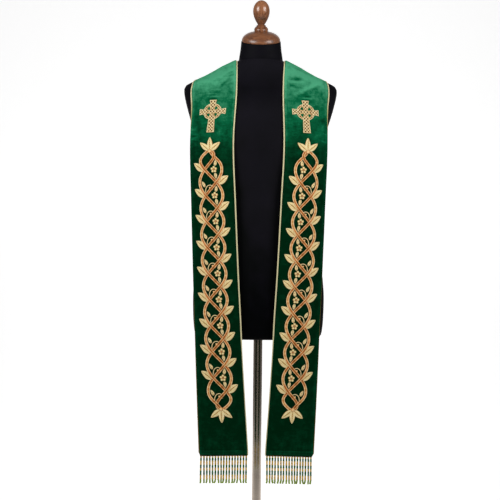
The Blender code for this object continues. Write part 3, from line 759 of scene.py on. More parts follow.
def makeStand():
    s = stand
    plate = [(0, s["baseThickness"]), *roundedCorner(s["baseRadius"], s["baseThickness"], s["baseEdge"]),
             (s["baseRadius"], s["footEdge"]), (s["baseRadius"] - s["footEdge"], 0), (0, 0)]
    inner = s["postRadius"] + gap
    outer = inner + s["socketWall"]
    low = s["baseThickness"] + gap
    high = low + s["socketHeight"]
    socket = [(inner, high), *roundedCorner(outer, high, s["socketEdge"]), (outer, low), (inner, low),
              (inner, high)]
    top = formSections[0].height + dressForm["postInForm"] - gap
    post = [(0, top), *roundedCorner(s["postRadius"], top, s["postEdge"]), (s["postRadius"], low), (0, low)]
    for name, profile, steps, node in (
            ("basePlate", plate, 128, "base_plate"),
            ("postSocket", socket, 64, "post_socket"),
            ("steelPost", post, 64, "post")):
        register(spunPiece(name, profile, materials["steel"], steps), "steel", node)
    print("stand done")


# Stole: each half runs from the centre-back seam round the neck, over the shoulder and down the front

stole = {
    "wall": 0.0020, "width": 0.1360, "shoulderTuck": 0.07, "clearance": 0.0014, "hangClearance": 0.0018,
    "hubHeight": 1.330, "neckEase": 0.0078, "hemHeight": 0.281, "hangFrom": 1.150, "flattening": 4.5,
    "hemTurn": math.radians(7), "hemLean": math.radians(2.4),
    "backLines": 56, "shoulderLines": 44, "chestFoot": 1.180, "chestStep": 0.0024, "hangingStep": 0.0050,
    "hemPart": 0.030, "hemLines": 21,
    "innerStitch": 0.0075, "outerStitch": 0.0100, "foldAbove": 0.015, "cornerHeight": 0.011,
    "edgeRoll": {"Left": 0.0034, "Right": 0.0018}, "cornerTuck": {"Left": 0.0012, "Right": 0.0035},
    "rollFrom": 1.31, "rollRun": -0.11,
}
EdgePlace = namedtuple("EdgePlace", "height across sway")
innerEdge = [EdgePlace(*row) for row in (  # how far across the inner edge is, and how far both halves sway
    (0.281, 0.0261, -0.0015),
    (0.443, 0.0372, -0.0020),
    (0.558, 0.0445, -0.0026),
    (0.673, 0.0507, -0.0034),
    (0.788, 0.0576, -0.0036),
    (0.903, 0.0633, -0.0038),
    (1.018, 0.0685, -0.0042),
    (1.133, 0.0746, -0.0044),
    (1.191, 0.0757, -0.0045),
    (1.248, 0.0735, -0.0040),
    (1.306, 0.0701, -0.0030),
    (1.390, 0.0698, -0.0015),
    (1.440, 0.0732, 0.0000),
)]
Crease = namedtuple("Crease", "fromAcross fromHeight toAcross toHeight width rise")
frontCreases = {  # a rise below 0 is a trough
    "Left": [Crease(*row) for row in (
        (0.080, 1.382, 0.112, 1.348, 0.008, -0.0022),
        (0.085, 1.395, 0.150, 1.362, 0.012, 0.0015),
        (0.110, 1.334, 0.142, 1.333, 0.008, 0.0018),
        (0.118, 1.321, 0.150, 1.320, 0.006, -0.0015),
        (0.076, 1.400, 0.100, 1.388, 0.006, 0.0010),
        (0.076, 1.365, 0.098, 1.352, 0.006, 0.0012),
        (0.200, 1.195, 0.178, 1.190, 0.004, 0.0008),
        (0.200, 1.210, 0.180, 1.207, 0.004, 0.0008),
    )],
    "Right": [Crease(*row) for row in (
        (0.084, 1.368, 0.126, 1.370, 0.008, -0.0024),
        (0.086, 1.380, 0.118, 1.383, 0.008, 0.0016),
        (0.186, 1.370, 0.100, 1.320, 0.014, 0.0024),
        (0.120, 1.318, 0.150, 1.318, 0.006, -0.0015),
        (0.083, 1.352, 0.100, 1.345, 0.008, -0.0018),
        (0.090, 1.415, 0.104, 1.400, 0.004, 0.0010),
        (0.190, 1.262, 0.180, 1.235, 0.010, -0.0012),
    )],
}
folds = {  # heights of the cloth's soft forms, and (start, run) of where each comes in
    "puff": 0.0034, "puffFrom": (1.300, 0.06), "puffTo": (1.445, -0.03), "puffOffRidge": (0, -0.05),
    "neckRise": 0.0022, "neckReach": 0.022, "neckFrom": (1.39, 0.03),
    "hug": 0.0018, "hugAcross": (0.060, 0.05), "hugHeight": (1.345, 0.02),
    "innerEase": 0.012, "outerEase": 0.016, "undulation": 0.0008,
    "edgeRound": 0.0005, "roundReach": 0.0018, "hemReach": 0.0015, "groove": 0.00035, "grooveWidth": 0.0009,
    "hemFold": 0.0004, "hemFoldWidth": 0.0015, "mostSunk": 0.0010,
}
backTucks = {"azimuths": (25, 45, 65), "rise": 0.0020, "width": 0.008, "length": 0.060, "ease": 0.008}
columnPlaces = np.array(  # across the width, closer at both edges
    [0, 0.0008, 0.0018, 0.0030, 0.0045, 0.0060, 0.0068, 0.0075, 0.0082, 0.0090, 0.0105]
    + list(np.linspace(0.0128, 0.1360 - 0.0148, 46))
    + [0.1360 - place for place in (
        0.0128, 0.0110, 0.0105, 0.0100, 0.0095, 0.0088, 0.0070, 0.0050, 0.0032, 0.0018, 0.0008, 0)])

# painted light and shade on the velvet: how much facing up lightens it, the chest, lighter edges, the shade
# beside the embroidery and streaks near the hem
pile = {
    "facingUp": 0.9, "chest": (1.10, 0.12), "innerEdge": 0.16, "outerEdge": 0.10, "lowerEdge": 0.12,
    "lowerReach": 0.014, "crushedAndShaded": 0.16, "crushWidth": 0.003,
    "streaks": 0.05, "streaksFrom": (0.33, -0.04),
}
PaintedLightStroke = namedtuple("PaintedLightStroke", "fromAcross fromHeight toAcross toHeight width amount")
paintedLightStrokes = {  # painted light over ridges and patches, or painted shade where the amount is below 0
    "Left": [PaintedLightStroke(*row) for row in (
        (0.150, 1.378, 0.105, 1.374, 0.018, 0.20),
        (0.165, 1.366, 0.120, 1.352, 0.010, 0.12),
        (0.100, 1.408, 0.104, 1.404, 0.012, -0.24),
        (0.096, 1.389, 0.081, 1.393, 0.0035, -0.24),
        (0.099, 1.378, 0.080, 1.385, 0.0035, -0.26),
        (0.097, 1.368, 0.079, 1.375, 0.0040, -0.26),
        (0.085, 1.367, 0.117, 1.348, 0.009, -0.30),
        (0.108, 1.345, 0.122, 1.334, 0.014, -0.16),
        (0.152, 1.327, 0.118, 1.3245, 0.005, 0.18),
        (0.153, 1.3125, 0.127, 1.3125, 0.009, -0.26),
        (0.190, 1.300, 0.182, 1.245, 0.018, -0.12),
        (0.112, 1.305, 0.102, 1.235, 0.020, 0.10),
        (0.205, 1.296, 0.205, 1.250, 0.005, 0.16),
        (0.204, 1.236, 0.204, 1.180, 0.004, 0.16),
        (0.203, 1.224, 0.188, 1.226, 0.003, 0.18),
        (0.203, 1.196, 0.176, 1.205, 0.004, 0.20),
        (0.202, 1.176, 0.184, 1.180, 0.004, 0.14),
        (0.175, 1.256, 0.176, 1.210, 0.014, -0.14),
        (0.115, 1.225, 0.126, 1.180, 0.022, 0.14),
        (0.105, 1.195, 0.098, 1.150, 0.010, 0.10),
    )],
    "Right": [PaintedLightStroke(*row) for row in (
        (0.083, 1.414, 0.104, 1.394, 0.0035, 0.20),
        (0.092, 1.413, 0.150, 1.384, 0.007, -0.24),
        (0.095, 1.392, 0.165, 1.376, 0.014, 0.18),
        (0.082, 1.371, 0.124, 1.3685, 0.009, -0.24),
        (0.083, 1.358, 0.114, 1.340, 0.020, -0.20),
        (0.178, 1.363, 0.100, 1.325, 0.010, 0.22),
        (0.106, 1.3065, 0.152, 1.3065, 0.010, -0.26),
        (0.176, 1.342, 0.176, 1.322, 0.006, -0.14),
        (0.174, 1.258, 0.194, 1.240, 0.018, -0.14),
        (0.105, 1.305, 0.104, 1.235, 0.018, 0.10),
        (0.199, 1.300, 0.199, 1.255, 0.005, 0.16),
        (0.198, 1.238, 0.198, 1.175, 0.004, 0.16),
        (0.196, 1.214, 0.180, 1.216, 0.003, 0.18),
        (0.196, 1.190, 0.170, 1.196, 0.004, 0.20),
        (0.118, 1.232, 0.120, 1.190, 0.014, -0.12),
        (0.170, 1.222, 0.150, 1.188, 0.022, 0.14),
    )],
}
paintedLightByHeight = [  # height, and the painted light there, lightest towards the shoulders
    (0.281, 0.15), (0.294, 0.12), (0.300, 0.06), (0.330, 0.02), (0.360, 0.0), (0.900, 0.0), (1.050, 0.03),
    (1.120, 0.07), (1.160, 0.12), (1.185, 0.24), (1.210, 0.35), (1.260, 0.46), (1.300, 0.56), (1.330, 0.66),
    (1.350, 0.80), (1.380, 0.94), (1.440, 0.98)]


def frontHeights():
    s = stole
    hemTop = s["hemHeight"] + s["hemPart"]
    chest = np.arange(s["hubHeight"], s["chestFoot"], -s["chestStep"])
    hanging = np.arange(s["chestFoot"], hemTop, -s["hangingStep"])
    return np.concatenate([chest, hanging, np.linspace(hemTop, s["hemHeight"], s["hemLines"])])


def formValue(x, y, height):
    # below 0 inside the form, 0 on its surface and above 0 outside it
    depth = np.where(y < 0, frontAt(height), backAt(height))
    power = powerAt(height)
    return (abs(x) / halfWidthAt(height)) ** power + (abs(y) / depth) ** power - 1


def outward(points):
    step = 0.0005
    slopes = []
    for axis in np.eye(3):
        slopes.append(formValue(*(points + axis * step).T) - formValue(*(points - axis * step).T))
    return unit(np.stack(slopes, axis=1))


def outOfForm(origins, directions):
    # where each ray leaves the form, found by halving, and clear of it
    near = np.zeros(len(origins))
    far = np.full(len(origins), 0.3)
    for _ in range(40):
        middle = (near + far) / 2
        inside = formValue(*(origins + directions * middle[:, None]).T) < 0
        near = np.where(inside, middle, near)
        far = np.where(inside, far, middle)
    points = origins + directions * near[:, None]
    return points + outward(points) * stole["clearance"]


def innerEdgeAt(height, side):
    heights = [place.height for place in innerEdge]
    across = [place.across + side * place.sway for place in innerEdge]
    samples = [np.interp(height + shift, heights, across) for shift in np.linspace(-0.03, 0.03, 9)]
    return np.mean(samples, axis=0)


def columnsFrom(points, pastEdge, tuck=0):
    # the line's points at the column places, counted from where it passes the inner edge
    lengths = lengthsAlong(points)
    start = np.interp(0, pastEdge, lengths)
    return sampled(points, lengths, start + columnPlaces * (1 - tuck))


def backLine(azimuth):
    elevations = np.radians(np.arange(70, -40, -0.5))
    ways = np.stack([math.cos(azimuth) * np.cos(elevations), math.sin(azimuth) * np.cos(elevations),
                     np.sin(elevations)], axis=1)
    points = outOfForm(np.tile([0, 0, stole["hubHeight"]], (len(ways), 1)), ways)
    neckSide = halfWidthAt(dressForm["neckFoot"])
    neckBack = backAt(dressForm["neckFoot"])
    neck = 1 / math.hypot(math.cos(azimuth) / neckSide, math.sin(azimuth) / neckBack)
    pastEdge = np.hypot(points[:, 0], points[:, 1]) - neck - stole["neckEase"]
    return columnsFrom(points, pastEdge, stole["shoulderTuck"] * math.cos(azimuth))


def shoulderLine(turn, side):
    across = np.arange(0.05, 0.222, 0.001)
    origins = np.stack([across, np.zeros(len(across)), np.full(len(across), stole["hubHeight"])], axis=1)
    points = outOfForm(origins, np.tile([0, -math.sin(turn), math.cos(turn)], (len(across), 1)))
    pastEdge = points[:, 0] - innerEdgeAt(points[:, 2], side)
    return columnsFrom(points, pastEdge, stole["shoulderTuck"] * math.cos(turn))


def frontLine(height, side):
    # it hangs from the furthest point forward above it, and grows flat towards the hem
    s = stole
    across = np.arange(0, 0.224, 0.001)
    heights = np.linspace(height, s["hubHeight"], 60)[:, None]
    share = np.clip(across / halfWidthAt(heights), 0, 1) ** powerAt(heights)
    reach = (-frontAt(heights) * (1 - share) ** (1 / powerAt(heights))).min(axis=0)
    edge = innerEdgeAt(height, side)
    middle = edge + s["width"] / 2
    flat = np.interp(middle, across, reach) + math.tan(s["hemTurn"]) * (across - middle)
    fall = np.clip((s["hangFrom"] - height) / (s["hangFrom"] - s["hemHeight"]), 0, 1)
    y = reach + (flat - reach) * fall ** s["flattening"] - s["hangClearance"]
    z = height - (across - middle) * math.tan(s["hemLean"]) * fall
    return columnsFrom(np.stack([across, y, z], axis=1), across - edge)


def panelNormals(rows, side):
    return unit(np.cross(np.gradient(rows, axis=0), np.gradient(rows, axis=1)) * side)


def hugging(height):
    # how closely the outer edge lies on the ridge of the shoulder
    return ramped(height, *folds["hugHeight"])


def strokeSum(rows, strokes):
    # soft strokes laid over the front, each fullest at its middle
    across = abs(rows[:, :, 0])
    height = rows[:, :, 2]
    total = np.zeros(across.shape)
    for fromAcross, fromHeight, toAcross, toHeight, width, amount in strokes:
        run = np.array([toAcross - fromAcross, toHeight - fromHeight])
        offX = across - fromAcross
        offZ = height - fromHeight
        near = np.clip((offX * run[0] + offZ * run[1]) / (run @ run), 0, 1)
        distance = np.hypot(offX - near * run[0], offZ - near * run[1])
        fullness = 0.35 + 0.65 * np.sin(math.pi * near)
        total += amount * fullness * np.exp(-(distance / (0.55 * width)) ** 2)
    return total


class Panel:
    # one velvet half: its surface, and any place on its front by width, height and lift above the pile
    def __init__(self, side, name):
        s = stole
        self.side = side
        self.heights = frontHeights()
        back = [backLine(math.pi / 2 * (1 - i / s["backLines"])) for i in range(s["backLines"])]
        shoulder = [shoulderLine(math.pi / 2 * i / s["shoulderLines"], side)
                    for i in range(s["shoulderLines"])]
        front = [frontLine(height, side) for height in self.heights]
        rows = np.array(back + shoulder + front)
        ridge = len(back)
        self.firstFront = ridge + len(shoulder)
        for _ in range(3):  # eases the line where the shoulder meets the back
            middle = (rows[:-2] + 2 * rows[1:-1] + rows[2:]) / 4
            rows[ridge - 8:ridge + 8] = middle[ridge - 9:ridge + 7]
        self.edges = rows[:, [0, -1]].copy()
        self.rollEdge(rows, name)
        rows[0, :, 0] = gap / 2
        rows[:, :, 0] *= side
        self.edges[:, :, 0] *= side
        self.rows = rows
        self.normals = panelNormals(rows, side)
        self.lengths = lengthsAlong(rows[:, len(columnPlaces) // 2])
        self.rise = self.drape(name)
        self.top = rows + self.normals * (s["wall"] + self.rise)[:, :, None]
        self.topNormals = panelNormals(self.top, side)
        self.bottom = rows + self.normals * np.maximum(self.rise, -folds["mostSunk"])[:, :, None]
        self.napAndPaintedLight = self.napAndPaintedLightOf(name)

    def napAndPaintedLightOf(self, name):
        # painted light and shade: lighter towards the shoulders and wherever the cloth faces up, with
        # painted strokes, lighter edges and streaks near the hem
        p = pile
        heights, amounts = zip(*paintedLightByHeight)
        height = self.top[:, :, 2]
        front = self.rows[:, :, 1] < 0
        leaning = self.topNormals[:, :, 2] - self.normals[:, :, 2]
        napAndPaintedLight = np.interp(height, heights, amounts) + p["facingUp"] * leaning
        napAndPaintedLight += strokeSum(self.rows, paintedLightStrokes[name]) * front
        u = columnPlaces[None, :]
        fromOuter = stole["width"] - u
        chest = ramped(height, *p["chest"])
        for amount, where, off, reach, power in (
                (p["innerEdge"], chest, u, stole["innerStitch"], 0.3),
                (p["outerEdge"], chest, fromOuter, stole["outerStitch"], 0.3),
                (p["lowerEdge"], 1 - chest, fromOuter, p["lowerReach"], 1)):
            napAndPaintedLight += amount * where * np.clip(1 - off / reach, 0, 1) ** power
        inBand = (height > band["low"]) & (height < band["high"]) & front
        for k in range(3):  # painted shade beside the embroidery, where the pile is also crushed
            x, slope = strandPlace(height, k)
            beside = abs(u - band["middle"] - x) / np.hypot(1, slope) - band["strand"]
            napAndPaintedLight -= p["crushedAndShaded"] * np.exp(-(np.maximum(beside, 0) / p["crushWidth"]) ** 2) * inBand
        streaks = np.sin(u * 900 + 3 * np.sin(u * 210)) * ramped(height, *p["streaksFrom"])
        return napAndPaintedLight + p["streaks"] * streaks

    def rollEdge(self, rows, name):
        # below the chest the outer edge rolls out over its piping; the hem's outer corner is turned in
        s = stole
        share = columnPlaces / s["width"]
        for i, height in enumerate(self.heights):
            rolled = float(ramped(height, s["rollFrom"], s["rollRun"]))
            low = max(0, 1 - (height - s["hemHeight"]) / s["cornerHeight"])
            shift = s["edgeRoll"][name] * rolled - s["cornerTuck"][name] * low ** 1.5
            rows[self.firstFront + i, :, 0] += shift * share ** 5

    def drape(self, name):
        # creases, stitch grooves, the fold of the hem and the soft waves of hanging cloth
        s, f = stole, folds
        u = columnPlaces[None, :]
        x, y, height = (self.rows[:, :, k] for k in range(3))
        front = y < 0
        rise = np.zeros(height.shape)
        over = ramped(height, *f["puffFrom"]) * ramped(height, *f["puffTo"]) * front
        edgeFade = ramped(u, 0, f["innerEase"]) * ramped(u, s["width"], -f["outerEase"])
        rise += f["puff"] * over * edgeFade ** 0.5 * ramped(y, *f["puffOffRidge"])
        rise += f["neckRise"] * np.exp(-(u / f["neckReach"]) ** 2) * ramped(height, *f["neckFrom"])
        rise -= f["hug"] * ramped(u, *f["hugAcross"]) * hugging(height)
        rise += strokeSum(self.rows, frontCreases[name]) * front * np.clip(edgeFade * 2, 0, 1)
        azimuth = np.degrees(np.arctan2(y, abs(x)))
        radius = np.hypot(x, y)
        tucks = backTucks
        for centre in tucks["azimuths"]:
            off = np.radians(azimuth - centre) * radius
            fade = np.clip(1 - u / tucks["length"], 0, 1) ** 0.7 * ramped(u, 0, tucks["ease"])
            rise += tucks["rise"] * np.exp(-(off / (0.5 * tucks["width"])) ** 2) * fade * (azimuth > 5)
        waves = (np.sin(self.lengths * 11 + 1.3 * self.side)[:, None] * np.sin(u * 30 + self.side)
                 + 0.6 * np.sin(self.lengths * 23 + 2)[:, None] * np.cos(u * 55 + 1))
        rise += f["undulation"] * waves * edgeFade * np.clip(self.lengths / 0.3, 0, 1)[:, None]
        for place, at in ((s["innerStitch"], u), (s["outerStitch"], s["width"] - u)):
            rise -= f["groove"] * np.exp(-((at - place) / f["grooveWidth"]) ** 2)
        rounding = np.minimum(u, s["width"] - u)
        rise -= f["edgeRound"] * np.clip(1 - rounding / f["roundReach"], 0, 1) ** 2
        aboveHem = self.heights - s["hemHeight"]
        foldLine = f["hemFold"] * np.exp(-((aboveHem - s["foldAbove"]) / f["hemFoldWidth"]) ** 2)
        hemRound = f["edgeRound"] * np.clip(1 - aboveHem / f["hemReach"], 0, 1) ** 2
        for sunk in (foldLine, hemRound):
            rise[self.firstFront:] -= sunk[:, None]
        return rise

    def place(self, u, height, lift):
        # points on the front, u from the inner edge
        u = np.asarray(u, dtype=float)
        height = np.asarray(height, dtype=float)
        row = self.firstFront + np.interp(-height, -self.heights, np.arange(len(self.heights)))
        column = np.interp(u, columnPlaces, np.arange(len(columnPlaces)))
        i = np.clip(row.astype(int), 0, len(self.rows) - 2)
        j = np.clip(column.astype(int), 0, len(columnPlaces) - 2)
        down = (row - i)[..., None]
        along = (column - j)[..., None]

        def between(grid):
            upper = grid[i, j] * (1 - along) + grid[i, j + 1] * along
            lower = grid[i + 1, j] * (1 - along) + grid[i + 1, j + 1] * along
            return upper * (1 - down) + lower * down

        return between(self.top) + between(self.topNormals) * np.asarray(lift)[..., None]


def makeVelvetHalf(name, panel):
    rowCount, columnCount = panel.top.shape[:2]
    points = np.concatenate([panel.top.reshape(-1, 3), panel.bottom.reshape(-1, 3)])
    flows = together(columnPlaces[None, :], panel.lengths[:, None]).reshape(-1, 2)
    piece = meshPiece("velvet" + name, points, sheetFaces(rowCount, columnCount, panel.side < 0),
                      [materials["velvet"]], flows=np.tile(flows, (2, 1)),
                      attributes={"napAndPaintedLight": np.tile(panel.napAndPaintedLight.ravel(), 2)})
    register(piece, "velvet", "stole_" + name.lower())
    return piece


# Piping and hem cord: twisted cord of three plies

cords = {
    "piping": 0.0022, "pipingLay": 0.012, "hem": 0.0012, "hemLay": 0.006, "sides": 15, "step": 0.0010,
    "tuck": 0.0018, "spread": {"Left": 0.0024, "Right": 0.0004}, "sunk": 0.0026,
    "tuckedFrom": {"inner": (0.66, 0.58), "outer": (1.31, 1.20)},  # where it begins and where it is full
    # the piping's tone, and the painted shade taken off it where the outer piping is tucked
    "neckTuck": 0.55, "neckTuckFrom": (1.33, 0.06), "tone": 0.58, "tuckedShade": 0.40,
}


def cordMesh(name, path, normals, radius, lay, tones):
    # sides follow the twist, so that each ply is a ridge winding round the cord
    many = cords["sides"]
    lengths = lengthsAlong(path)
    count = int(lengths[-1] / cords["step"]) + 1
    at = np.linspace(0, lengths[-1], count)
    line = sampled(path, lengths, at)
    forward = unit(np.gradient(line, axis=0))
    up = sampled(normals, lengths, at)
    up = unit(up - forward * (up * forward).sum(axis=1)[:, None])
    sideways = np.cross(forward, up)
    angle = fullTurn * np.arange(many) / many
    turned = angle[None, :] + fullTurn * at[:, None] / lay
    size = radius * (0.90 + 0.10 * np.cos(3 * angle))[None, :]
    ring = (line[:, None] + up[:, None] * (size * np.cos(turned))[:, :, None]
            + sideways[:, None] * (size * np.sin(turned))[:, :, None])
    around = np.arange(many)
    here = (np.arange(count - 1)[:, None] * many + around).ravel()
    beside = (np.arange(count - 1)[:, None] * many + (around + 1) % many).ravel()
    faces = [tuple(face) for face in np.stack([here, here + many, beside + many, beside], axis=1)]
    faces += [tuple(around), tuple(reversed(around + (count - 1) * many))]
    flows = together(angle[None, :] * radius, at[:, None]).reshape(-1, 2)
    tone = np.interp(at, lengths, tones)
    return meshPiece(name, ring.reshape(-1, 3), faces, [materials["goldCord"]], flows=flows,
                     attributes={"tone": np.repeat(tone, many)})


def pipingPath(panel, name, edge):
    # the cord's middle line and its normals, and how far it slips behind the velvet's edge
    c = cords
    radius = c["piping"]
    outer = edge == "outer"
    column, beside = (-1, -2) if outer else (0, 1)
    sideways = unit(panel.rows[:, column] - panel.rows[:, beside])
    normals = panel.normals[:, column]
    tucked = np.zeros(len(panel.rows))
    start, end = c["tuckedFrom"][edge]
    tucked[panel.firstFront:] = np.clip((start - panel.heights) / (start - end), 0, 1)
    if not outer:
        tucked = np.maximum(tucked, c["neckTuck"] * ramped(panel.rows[:, 0, 2], *c["neckTuckFrom"]))
    aside = radius + gap + (c["spread"][name] if outer else -c["tuck"]) * tucked
    above = radius - 2 * radius * tucked
    if outer:
        above = above - c["sunk"] * hugging(panel.rows[:, column, 2])
    path = panel.edges[:, column] + sideways * aside[:, None] + normals * above[:, None]
    path[0, 0] = math.copysign(gap, path[1, 0])
    if outer:  # it follows the corner of the hem where that is turned in
        low = np.clip(1 - (panel.heights - stole["hemHeight"]) / stole["cornerHeight"], 0, 1)
        turnedIn = c["spread"][name] + stole["cornerTuck"][name] + radius
        path[panel.firstFront:, 0] -= panel.side * turnedIn * low ** 1.5
        keep = int(np.argmax(panel.heights < stole["hemHeight"] + 0.001)) + panel.firstFront
        path, normals = path[:keep], normals[:keep]
    return path, normals, tucked[:len(path)]


def makeCords(name, panel):
    c = cords
    pieces = []
    for edge in ("inner", "outer"):
        path, normals, tucked = pipingPath(panel, name, edge)
        # painted shade on the outer piping where it is tucked behind the velvet
        tones = c["tone"] - c["tuckedShade"] * tucked * (edge == "outer")
        piece = cordMesh("piping" + edge.title() + name, path, normals, c["piping"], c["pipingLay"], tones)
        register(piece, "gold_cord", f"piping_{edge}_{name.lower()}")
        pieces.append(piece)
    hem = panel.rows[-1] + panel.normals[-1] * stole["wall"] / 2 + np.array([0, 0, gap - c["hem"]])
    piece = cordMesh("hemCord" + name, hem, panel.normals[-1], c["hem"], c["hemLay"], np.zeros(len(hem)))
    register(piece, "gold_cord", "hem_cord_" + name.lower())
    pieces.append(piece)
    return pieces


# Ringed cross: a padded tan lattice inside a cream cord

cross = {
    "height": 1.2746, "place": {"Left": 0.0655, "Right": 0.0630}, "turn": math.radians(2.8), "droop": 0.055,
    "top": 0.0330, "foot": 0.0600, "arm": 0.0405, "waists": (0.0080, 0.0066, 0.0096, 0.0066),
    "topEnd": 0.0106, "armEnd": 0.0085, "footEnd": 0.0118, "ring": (0.0280, 0.0234),
    "eyePlace": (0.0112, 0.0092), "eye": 0.0046, "eyePoint": 0.16,
    "base": 0.0007, "edgeCord": 0.0010, "outlineStep": 0.0009, "detail": 0.000525, "reach": 0.075,
    "pitch": 0.0066, "strand": 0.00165, "strandHeight": 0.0007, "overUnder": 0.0003,
    # tones: painted highlight rises per metre of a strand's height, and painted shade at the cord's outer
    # foot
    "tones": {"gaps": -0.5, "lattice": 0.14, "perMetre": 800, "line": 0.25, "cord": 0.66, "outerCord": 0.20,
              "cut": 0.4},
}


def crossOutline():
    c = cross
    wide, high = c["ring"]
    ends = [
        ((-c["topEnd"], c["top"]), (c["topEnd"], c["top"])),
        ((c["arm"], c["armEnd"]), (c["arm"], -c["armEnd"])),
        ((c["footEnd"], -c["foot"]), (-c["footEnd"], -c["foot"])),
        ((-c["arm"], -c["armEnd"]), (-c["arm"], c["armEnd"])),
    ]
    outline = []
    for quarter, corners in enumerate(ends):
        outline += corners
        reaches = (wide, high) if quarter % 2 == 0 else (high, wide)
        first = math.pi / 2 * (1 - quarter) - math.asin(c["waists"][quarter] / reaches[0])
        last = -math.pi / 2 * quarter + math.asin(c["waists"][(quarter + 1) % 4] / reaches[1])
        for i in range(25):
            angle = first + (last - first) * i / 24
            outline.append((wide * math.cos(angle), high * math.sin(angle)))
    return outline


def eyeOutline(across, up):
    # a rounded triangle with its point towards the middle
    c = cross
    towards = math.atan2(-up, -across)
    outline = []
    for k in range(18):
        angle = fullTurn * k / 18
        size = c["eye"] * (1 + c["eyePoint"] * math.cos(3 * (angle - towards)))
        outline.append((across + size * math.cos(angle), up + size * math.sin(angle)))
    return outline


def evenly(outline, step):
    points = []
    for (x0, y0), (x1, y1) in zip(outline, outline[1:] + outline[:1]):
        parts = max(1, round(math.hypot(x1 - x0, y1 - y0) / step))
        points += [(x0 + (x1 - x0) * i / parts, y0 + (y1 - y0) * i / parts) for i in range(parts)]
    return points


def insideOf(points, outline):
    x, y = points[:, 0], points[:, 1]
    inside = np.zeros(len(points), dtype=bool)
    for (x0, y0), (x1, y1) in zip(outline, outline[1:] + outline[:1]):
        if y0 != y1:
            inside ^= ((y0 > y) != (y1 > y)) & (x < (x1 - x0) * (y - y0) / (y1 - y0) + x0)
    return inside


def distanceTo(points, outline):
    nearest = np.full(len(points), 1.0)
    for start, end in zip(outline, outline[1:] + outline[:1]):
        run = np.subtract(end, start)
        t = np.clip(((points - start) @ run) / (run @ run), 0, 1)
        nearest = np.minimum(nearest, np.linalg.norm(points - start - t[:, None] * run, axis=1))
    return nearest


def latticeRelief(points):
    # height and tone of two sets of strands at 45 degrees that pass over and under each other; the tone
    # paints highlight that rises with a strand's height
    c = cross
    a = (points[:, 0] + points[:, 1]) / math.sqrt(2) / c["pitch"]
    b = (points[:, 0] - points[:, 1]) / math.sqrt(2) / c["pitch"]
    heights = []
    for own, other, turn in ((a, b, 1), (b, a, -1)):
        line = np.round(own)
        off = np.abs(own - line) * c["pitch"] / c["strand"]
        crossing = np.round(other)
        wave = turn * np.cos(math.pi * (crossing + line)) * np.cos(math.pi * (other - crossing))
        height = np.sqrt(np.clip(1 - off ** 2, 0, 1)) * c["strandHeight"] + c["overUnder"] * wave
        heights.append(np.where(off < 1, height, -1))
    top = np.maximum(*heights)
    t = c["tones"]
    return np.where(top > 0, top, 0), np.where(top > 0, t["lattice"] + t["perMetre"] * top, t["gaps"])


def closedPatch(flat, triangles, top, bottom):
    # top and bottom of a patch with a wall round every open edge
    count = len(flat)
    triangles = np.asarray(triangles)
    edges = np.concatenate([triangles[:, [0, 1]], triangles[:, [1, 2]], triangles[:, [2, 0]]])
    keys = {(start, end) for start, end in edges.tolist()}
    walls = [(end, start, start + count, end + count) for start, end in keys if (end, start) not in keys]
    faces = triangles.tolist() + (triangles[:, ::-1] + count).tolist() + walls
    return np.concatenate([top, bottom]), faces


def crossTriangles(outline, eyes):
    # a fine even net of triangles inside the outline, with the eyes left open
    c = cross
    reach = np.arange(-c["reach"], c["reach"], c["detail"])
    a, b = np.meshgrid(reach, reach)
    grid = np.stack([(a + b).ravel(), (a - b).ravel()], axis=1) / math.sqrt(2)
    grid = grid[insideOf(grid, outline) & (distanceTo(grid, outline) > 0.4 * c["detail"])]
    for eye in eyes:
        grid = grid[~insideOf(grid, eye) & (distanceTo(grid, eye) > 0.4 * c["detail"])]
    corners, edges = [], []
    for loop in [outline] + eyes:
        first = len(corners)
        corners += loop
        edges += [(first + i, first + (i + 1) % len(loop)) for i in range(len(loop))]
    everyPoint = [Vector(point) for point in np.concatenate([np.array(corners), grid])]
    found, _, triangles, _, _, _ = delaunay_2d_cdt(everyPoint, edges, [], 0, 1e-7)
    flat = np.array([tuple(point) for point in found])
    triangles = np.array(triangles)
    centres = flat[triangles].mean(axis=1)
    wanted = insideOf(centres, outline)
    for eye in eyes:
        wanted &= ~insideOf(centres, eye)
    return flat, triangles[wanted]


def makeCross(name, panel):
    c = cross
    outline = evenly(crossOutline(), c["outlineStep"])
    wide, high = c["eyePlace"]
    eyes = [eyeOutline(across * wide, up * high) for across in (-1, 1) for up in (-1, 1)]
    flat, triangles = crossTriangles(outline, eyes)
    toOutside = distanceTo(flat, outline)
    toEdge = toOutside
    for eye in eyes:
        toEdge = np.minimum(toEdge, distanceTo(flat, eye))
    relief, tone = latticeRelief(flat)
    radius, t = c["edgeCord"], c["tones"]
    rim = np.sqrt(np.clip(radius ** 2 - (toEdge - radius) ** 2, 0, None)) * 1.1
    atRim = toEdge < 2 * radius
    lift = c["base"] + np.where(atRim, np.maximum(rim, 0.0002), relief)
    # painted shade at the cord's outer foot
    cordTone = t["cord"] + t["outerCord"] * (toEdge == toOutside) - t["cut"] * (toEdge < 0.3 * radius)
    tone = np.where(toEdge < 2.6 * radius, t["line"], tone)  # a dark line inside the cord
    tone = np.where(atRim, cordTone, tone)
    cos, sin = math.cos(c["turn"]), math.sin(c["turn"])
    u = c["place"][name] + flat[:, 0] * cos - flat[:, 1] * sin
    height = c["height"] + flat[:, 0] * (sin - c["droop"]) + flat[:, 1] * cos
    if panel.side < 0:
        triangles = triangles[:, ::-1]
    top = panel.place(u, height, lift)
    bottom = panel.place(u, height, 0 * lift + justAbove)
    points, faces = closedPatch(flat, triangles, top, bottom)
    piece = meshPiece("cross" + name, points, faces, [materials["lattice"]], flows=np.tile(flat, (2, 1)),
                      attributes={"tone": np.tile(tone, 2)})
    register(piece, "gold_embroidery", "cross_" + name.lower())
    return piece


